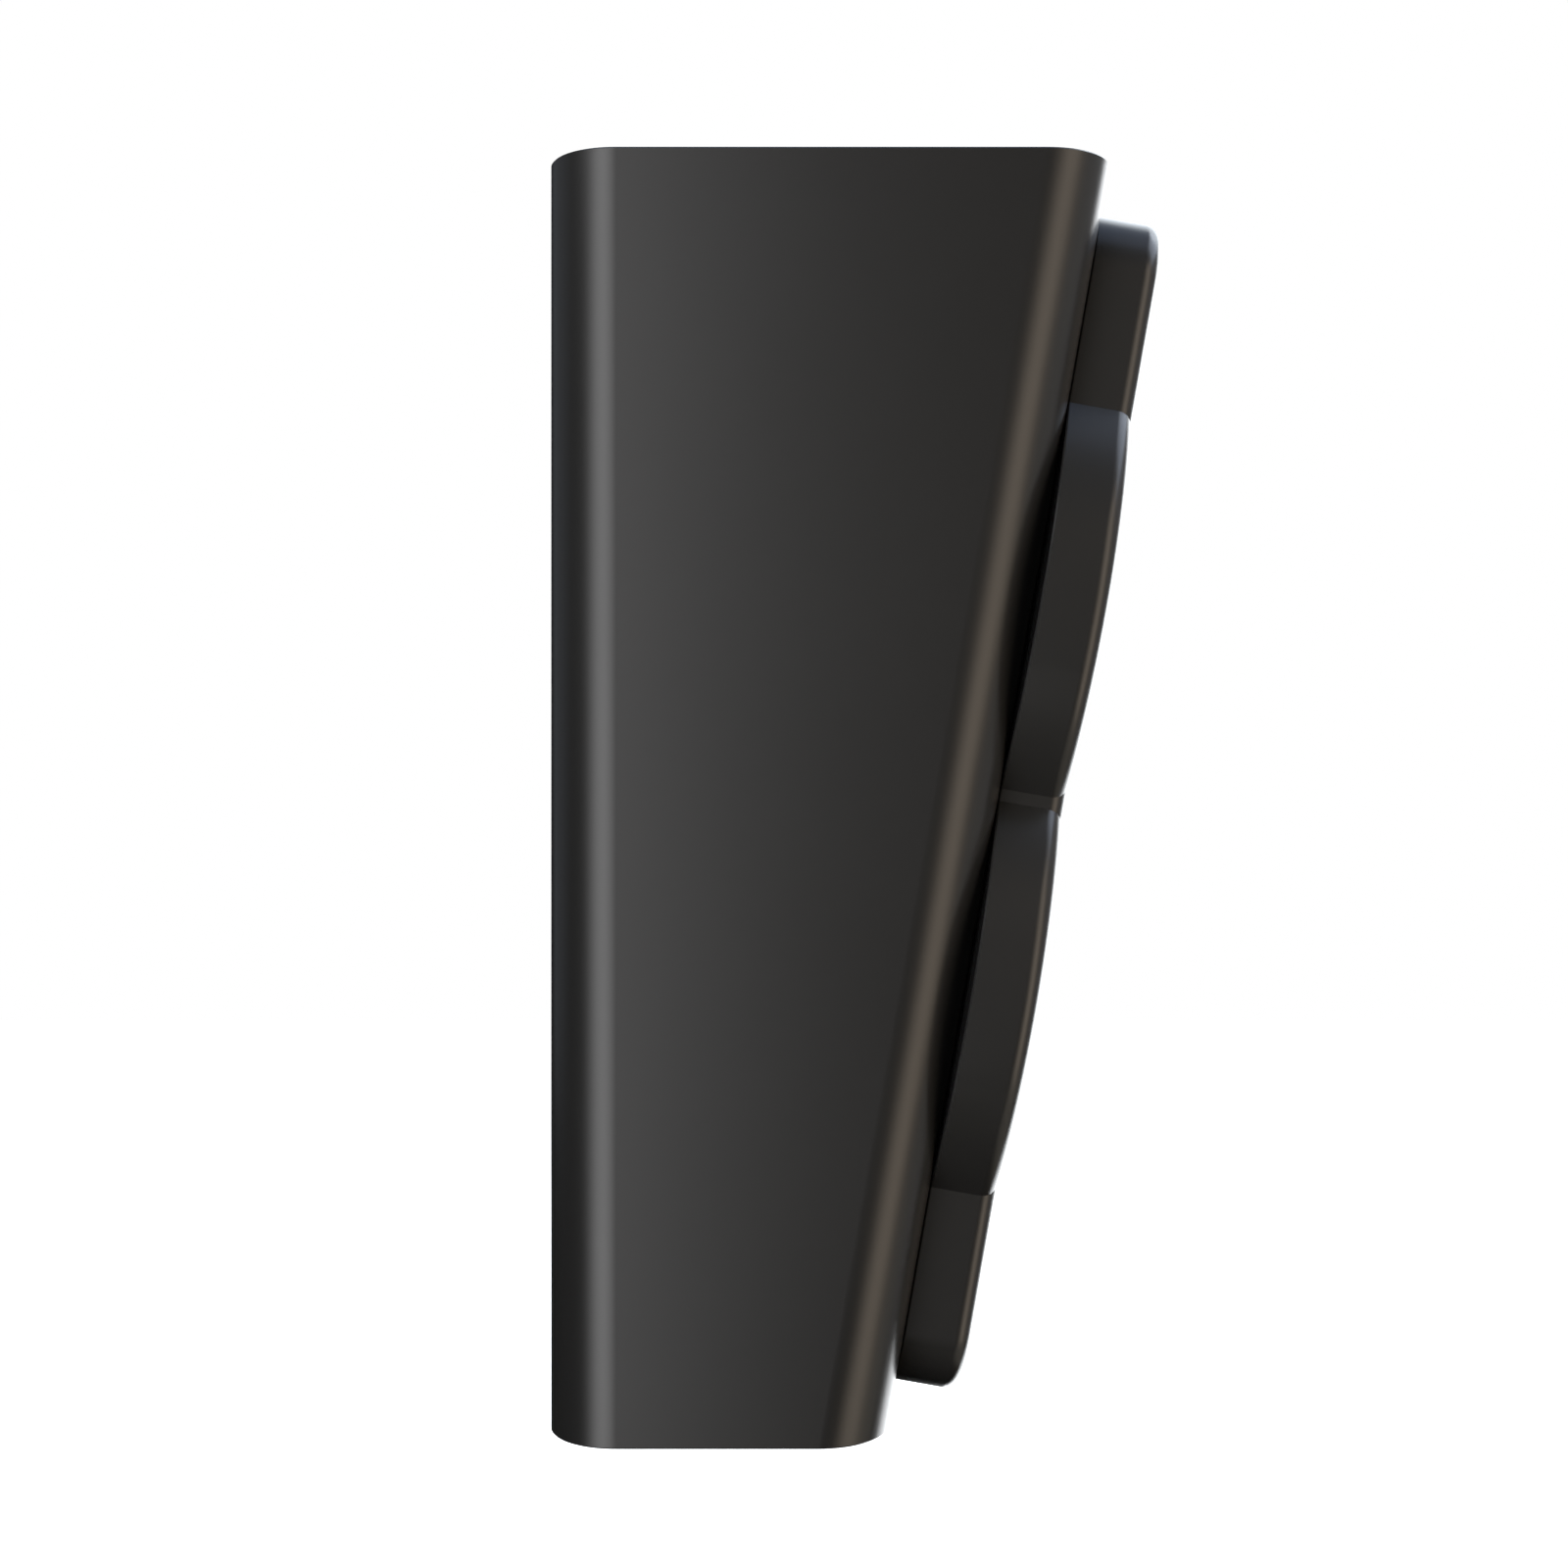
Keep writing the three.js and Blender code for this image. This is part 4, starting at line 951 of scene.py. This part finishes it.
def makeVent():  # a turned plug with a round head, one hole in its middle and six round it
    low, high = uprightBox("vent_plug")
    x, y = middleOf((low, high))[:2]
    base, top, head = low[2], high[2], (high[0] - low[0]) / 2
    body, edge, rim, foot, away = vent["body"], vent["edge"], base + vent["rim"], vent["foot"], vent["holesAt"]
    profile = [[0, base], [head - edge, base], [head, base + edge], [head, rim], [body, rim],
               [body, top - foot], [body - foot, top], [0, top]]
    piece = addObject("ventPlug", [turned(profile, (x, y, 0), 2, 64)], upright)
    holes = [alongUp(vent["middleHole"], base - 1, base + 9, x, y, 24)]
    holes += [alongUp(vent["hole"], base - 1, base + 6, x + away * math.cos(a), y + away * math.sin(a), 20)
              for a in np.arange(6) * math.pi / 3]
    combine(piece, ("DIFFERENCE", holes, upright))
    finishPiece(piece, "vent_plug", "housing")


makeGrommet()
makeVent()
print("back and foot made")

# Stage and light, in metres and watts.
stageLook = {"floorGap": 0.25, "floorSize": 8.0}
lightStand = {"middle": (0.0, -0.13, 0.0), "away": 1.7, "step": 6, "strip": (0.18, 2.4)}
# A fan is a row of upright strips, brightest in the middle. Azimuth 0 is the camera's side and 90 the back.
fans = {
    "backSoft": {"middle": 27, "spread": 30, "power": 5.6, "shade": (0.99, 0.99, 1.0)},
    "frontWarm": {"middle": -49, "spread": 28, "power": 3.3, "shade": (1.0, 0.84, 0.67)},
}
panels = {
    "frontFill": {"azimuth": -88, "height": 0, "size": (1.0, 2.2), "power": 3.0, "shade": (1.0, 0.98, 0.96)},
    "frontHigh": {"azimuth": -90, "height": 48, "size": (1.2, 0.9), "power": 11.4, "shade": (0.74, 0.83, 1.0)},
    "backHigh": {"azimuth": 45, "height": 48, "size": (1.2, 0.9), "power": 8.2, "shade": (0.95, 0.96, 1.0)},
    "overhead": {"azimuth": 0, "height": 89, "size": (1.4, 1.4), "power": 4.4, "shade": (0.5, 0.66, 1.0)},
    "backFill": {"azimuth": 112, "height": 20, "size": (1.5, 2.2), "power": 2.0, "shade": (0.78, 0.87, 1.0)},
    "frontLow": {"azimuth": -60, "height": -48, "size": (1.5, 0.9), "power": 2.4, "shade": (1.0, 0.93, 0.79)},
    "rimSoft": {"azimuth": -144, "height": -12, "size": (1.6, 2.8), "power": 64.0, "shade": (0.96, 0.98, 1.0)},
    "rimHigh": {"azimuth": -150, "height": 45, "size": (1.8, 1.0), "power": 18.0, "shade": (0.86, 0.93, 1.0)},
}


def makeStage():
    low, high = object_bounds()
    half, height = stageLook["floorSize"] / 2, low[2] - stageLook["floorGap"]
    mesh = bpy.data.meshes.new("floor")
    corners = np.array([[-1, -1], [1, -1], [1, 1], [-1, 1]]) * half
    mesh.from_pydata(np.insert(corners, 2, height, axis=1).tolist(), [], [[0, 1, 2, 3]])
    floor = bpy.data.objects.new("floor", mesh)
    bpy.context.scene.collection.objects.link(floor)
    paint = Paint("paleFloor", **{"Base Color": colour(0.9, 0.9, 0.9), "Roughness": 0.9,
                                  "Emission Color": colour(1, 1, 1), "Emission Strength": 1.0})
    mesh.materials.append(paint.material)
    floor.visible_glossy = floor.visible_diffuse = floor.visible_transmission = False  # no bounce from below


def makeLight(name, azimuth, height, size, power, shade):
    data = bpy.data.lights.new(name, "AREA")
    data.shape, data.size, data.size_y = "RECTANGLE", *size
    data.energy, data.color = power, shade
    lamp = bpy.data.objects.new(name, data)
    turn, rise = math.radians(azimuth), math.radians(height)
    way = np.array([-math.cos(turn) * math.cos(rise), math.sin(turn) * math.cos(rise), math.sin(rise)])
    lamp.location = way * lightStand["away"] + lightStand["middle"]
    lamp.rotation_euler = math.pi / 2 - rise, 0, math.atan2(way[0], -way[1])
    bpy.context.scene.collection.objects.link(lamp)


def makeFan(name, middle, spread, power, shade):
    for azimuth in range(middle - spread + lightStand["step"], middle + spread, lightStand["step"]):
        share = math.cos((azimuth - middle) / spread * math.pi / 2) ** 2
        makeLight(f"{name}{azimuth - middle}", azimuth, 0, lightStand["strip"], power * share, shade)


def makeSky(strength, toEye):  # dim soft surroundings that the eye sees as plain white
    world = bpy.data.worlds.new("studio")
    bpy.context.scene.world = world
    paint = Paint("studio", world, Color=colour(1, 1, 1))
    seen = paint.node("LightPath")
    paint.use(Strength=paint.node("MapRange", {}, {"Value": seen, "To Min": strength, "To Max": toEye}))


makeStage()
for name, look in fans.items():
    makeFan(name, **look)
for name, look in panels.items():
    makeLight(name, **look)
makeSky(0.011, 1.0)
bpy.context.scene.view_settings.view_transform = "Standard"
print("stage and light made")
